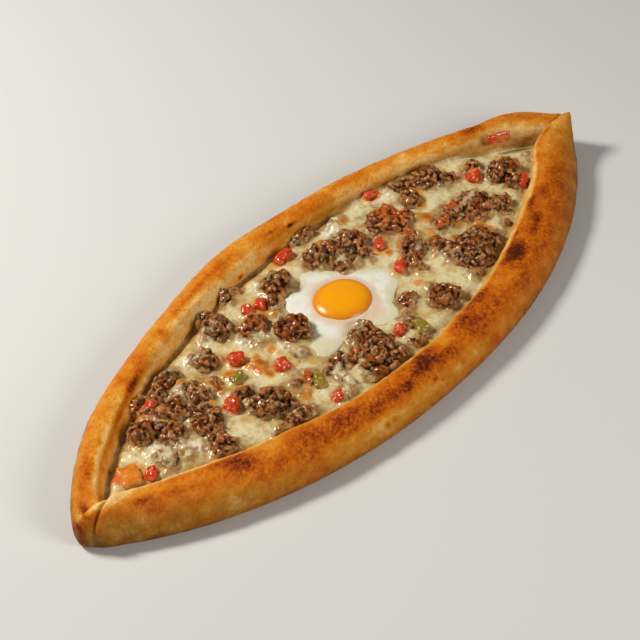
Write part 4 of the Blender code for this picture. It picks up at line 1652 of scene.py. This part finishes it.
class PIDE_OT_peppers(bpy.types.Operator):
    """Make the diced peppers, soft-edged and wet"""

    bl_idname = "pide.peppers"
    bl_label = "Peppers"

    def execute(self, context):
        peppers = context.scene.pide_peppers
        kinds = (
            (RED_NODES, "Red pepper", peppers.red, peppers.red_flesh, "red_pepper"),
            (GREEN_NODES, "Green pepper", peppers.green, peppers.green_flesh, "green_pepper"),
            (ROAST_NODES, "Roast pepper", peppers.roast, peppers.roast_flesh, "roast_pepper"),
        )
        for nodes, label, skin, flesh, slot in kinds:
            finish = pepper_finish(label, tuple(skin), tuple(flesh), tuple(peppers.film))
            for seed, node in enumerate(nodes):
                points, faces = merged_copy(node)
                piece = add_mesh(node.replace("pepper", "dice"), points, faces)
                creases = piece.data.attributes.new("crease_edge", "FLOAT", "EDGE")
                creases.data.foreach_set("value", [peppers.firmness] * len(piece.data.edges))
                soften = piece.modifiers.new("Soften", "SUBSURF")
                soften.levels = 3
                soften.render_levels = 3
                shaped = piece.evaluated_get(bpy.context.evaluated_depsgraph_get())
                mesh = bpy.data.meshes.new_from_object(shaped)
                piece.modifiers.clear()
                piece.data = mesh
                points = mesh_points(mesh)
                normals = mesh_normals(mesh)
                points += normals * (0.0008 * cloud(points, 0.0045, 2, seed=seed + 50))[:, None]
                along, across, tall, shift = PEPPER_SHAPES.get(node, (1.12, 1.16, 1.0, (0.0, 0.0, 0.0)))
                points = swell_along(points, along, across, tall) + shift
                mesh.shade_smooth()
                set_points(mesh, points)
                flesh_side = np.clip(0.6 - 0.8 * normals[:, 2] + 0.6 * cloud(points, 0.006, 1, seed=seed), 0.0, 1.0)
                put_attribute(mesh, "flesh", flesh_side)
                dress(piece, finish, [node])
        return {"FINISHED"}


# ---------------------------------------------------------------- stage

CAMERA_AIM = Vector((-0.0196, 0.0023, 0.0144))
CAMERA_DISTANCE = 1.0944
CAMERA_HEIGHT = math.radians(43.1)  # above the horizon
CAMERA_TURN = math.radians(46.6)
CAMERA_ROLL = math.radians(-3.4)


def aim(thing, place, target):
    """Puts a light at a place, pointing at the target."""
    thing.location = place
    thing.rotation_euler = (Vector(target) - Vector(place)).to_track_quat("-Z", "Y").to_euler()


def soft_light(name, place, power, size, warmth):
    """Large square soft light, aimed at the middle of the boat."""
    lamp = bpy.data.lights.new(name, "AREA")
    lamp.energy = power
    lamp.size = size
    lamp.color = warmth
    light = bpy.data.objects.new(name, lamp)
    bpy.context.scene.collection.objects.link(light)
    aim(light, place, (0.0, 0.0, 0.01))


class PIDE_OT_stage(bpy.types.Operator):
    """Make the pale floor, the soft light and the camera"""

    bl_idname = "pide.stage"
    bl_label = "Stage"

    def execute(self, context):
        stage = context.scene.pide_stage
        finish = Finish("Plain floor", Roughness=0.9)
        finish.paint("Base Color", finish.mix(finish.noise(0.4), tuple(stage.floor), tuple(stage.floor)))
        floor = add_mesh("floor", [(-2, -2, 0), (2, -2, 0), (2, 2, 0), (-2, 2, 0)], [(0, 1, 2, 3)])
        floor.data.materials.append(finish.material)
        right = Vector((math.cos(CAMERA_TURN), -math.sin(CAMERA_TURN), 0.0))
        away = Vector((math.sin(CAMERA_TURN), math.cos(CAMERA_TURN), 0.0))
        up = Vector((0.0, 0.0, 1.0))
        soft_light("key_light", -0.85 * right + 0.25 * away + 0.95 * up, stage.key, 0.28, (1.0, 0.95, 0.86))
        soft_light("front_light", Vector((0.10, -1.15, 0.66)), stage.fill, 0.55, (1.0, 0.95, 0.86))
        world = bpy.data.worlds.new("Surroundings")
        world.use_nodes = True
        sky = world.node_tree.nodes["Background"]
        sky.inputs["Color"].default_value = (1.0, 0.97, 0.93, 1.0)
        sky.inputs["Strength"].default_value = stage.ambient
        context.scene.world = world
        context.scene.view_settings.view_transform = "Standard"
        forward = away * math.cos(CAMERA_HEIGHT) - up * math.sin(CAMERA_HEIGHT)
        level_up = away * math.sin(CAMERA_HEIGHT) + up * math.cos(CAMERA_HEIGHT)
        side = right * math.cos(CAMERA_ROLL) + level_up * math.sin(CAMERA_ROLL)
        top = level_up * math.cos(CAMERA_ROLL) - right * math.sin(CAMERA_ROLL)
        eye = CAMERA_AIM - forward * CAMERA_DISTANCE
        camera = bpy.data.objects.new("camera", bpy.data.cameras.new("camera"))
        camera.data.lens = stage.lens
        camera.data.sensor_width = 36.0
        camera.matrix_world = Matrix(
            (
                (side.x, top.x, -forward.x, eye.x),
                (side.y, top.y, -forward.y, eye.y),
                (side.z, top.z, -forward.z, eye.z),
                (0.0, 0.0, 0.0, 1.0),
            )
        )
        context.scene.collection.objects.link(camera)
        context.scene.camera = camera
        return {"FINISHED"}


class PIDE_PT_panel(bpy.types.Panel):
    """Lists the settings and the steps that make the pide"""

    bl_label = "Turkish Pide"
    bl_idname = "PIDE_PT_panel"
    bl_space_type = "VIEW_3D"
    bl_region_type = "UI"
    bl_category = "Pide"

    def draw(self, context):
        for group, operator in STEPS:
            box = self.layout.box()
            settings = getattr(context.scene, group)
            for name in settings.__annotations__:
                box.prop(settings, name)
            box.operator(operator.bl_idname)


STEPS = (
    ("pide_bread", PIDE_OT_bread),
    ("pide_meat", PIDE_OT_meat),
    ("pide_peppers", PIDE_OT_peppers),
    ("pide_cheese", PIDE_OT_cheese),
    ("pide_egg", PIDE_OT_egg),
    ("pide_stage", PIDE_OT_stage),
)
SETTINGS = {
    "pide_bread": BreadSettings,
    "pide_cheese": CheeseSettings,
    "pide_meat": MeatSettings,
    "pide_peppers": PepperSettings,
    "pide_egg": EggSettings,
    "pide_stage": StageSettings,
}


def register():
    """Adds the settings, the operators and the panel to Blender."""
    for name, group in SETTINGS.items():
        bpy.utils.register_class(group)
        setattr(bpy.types.Scene, name, PointerProperty(type=group))
    for _, operator in STEPS:
        bpy.utils.register_class(operator)
    bpy.utils.register_class(PIDE_PT_panel)


def unregister():
    """Takes them out again."""
    bpy.utils.unregister_class(PIDE_PT_panel)
    for _, operator in reversed(STEPS):
        bpy.utils.unregister_class(operator)
    for name, group in reversed(SETTINGS.items()):
        delattr(bpy.types.Scene, name)
        bpy.utils.unregister_class(group)


def main():
    """Makes the pide step by step."""
    register()
    for _, operator in STEPS:
        group, name = operator.bl_idname.split(".")
        getattr(getattr(bpy.ops, group), name)()


if __name__ == "__main__":
    main()
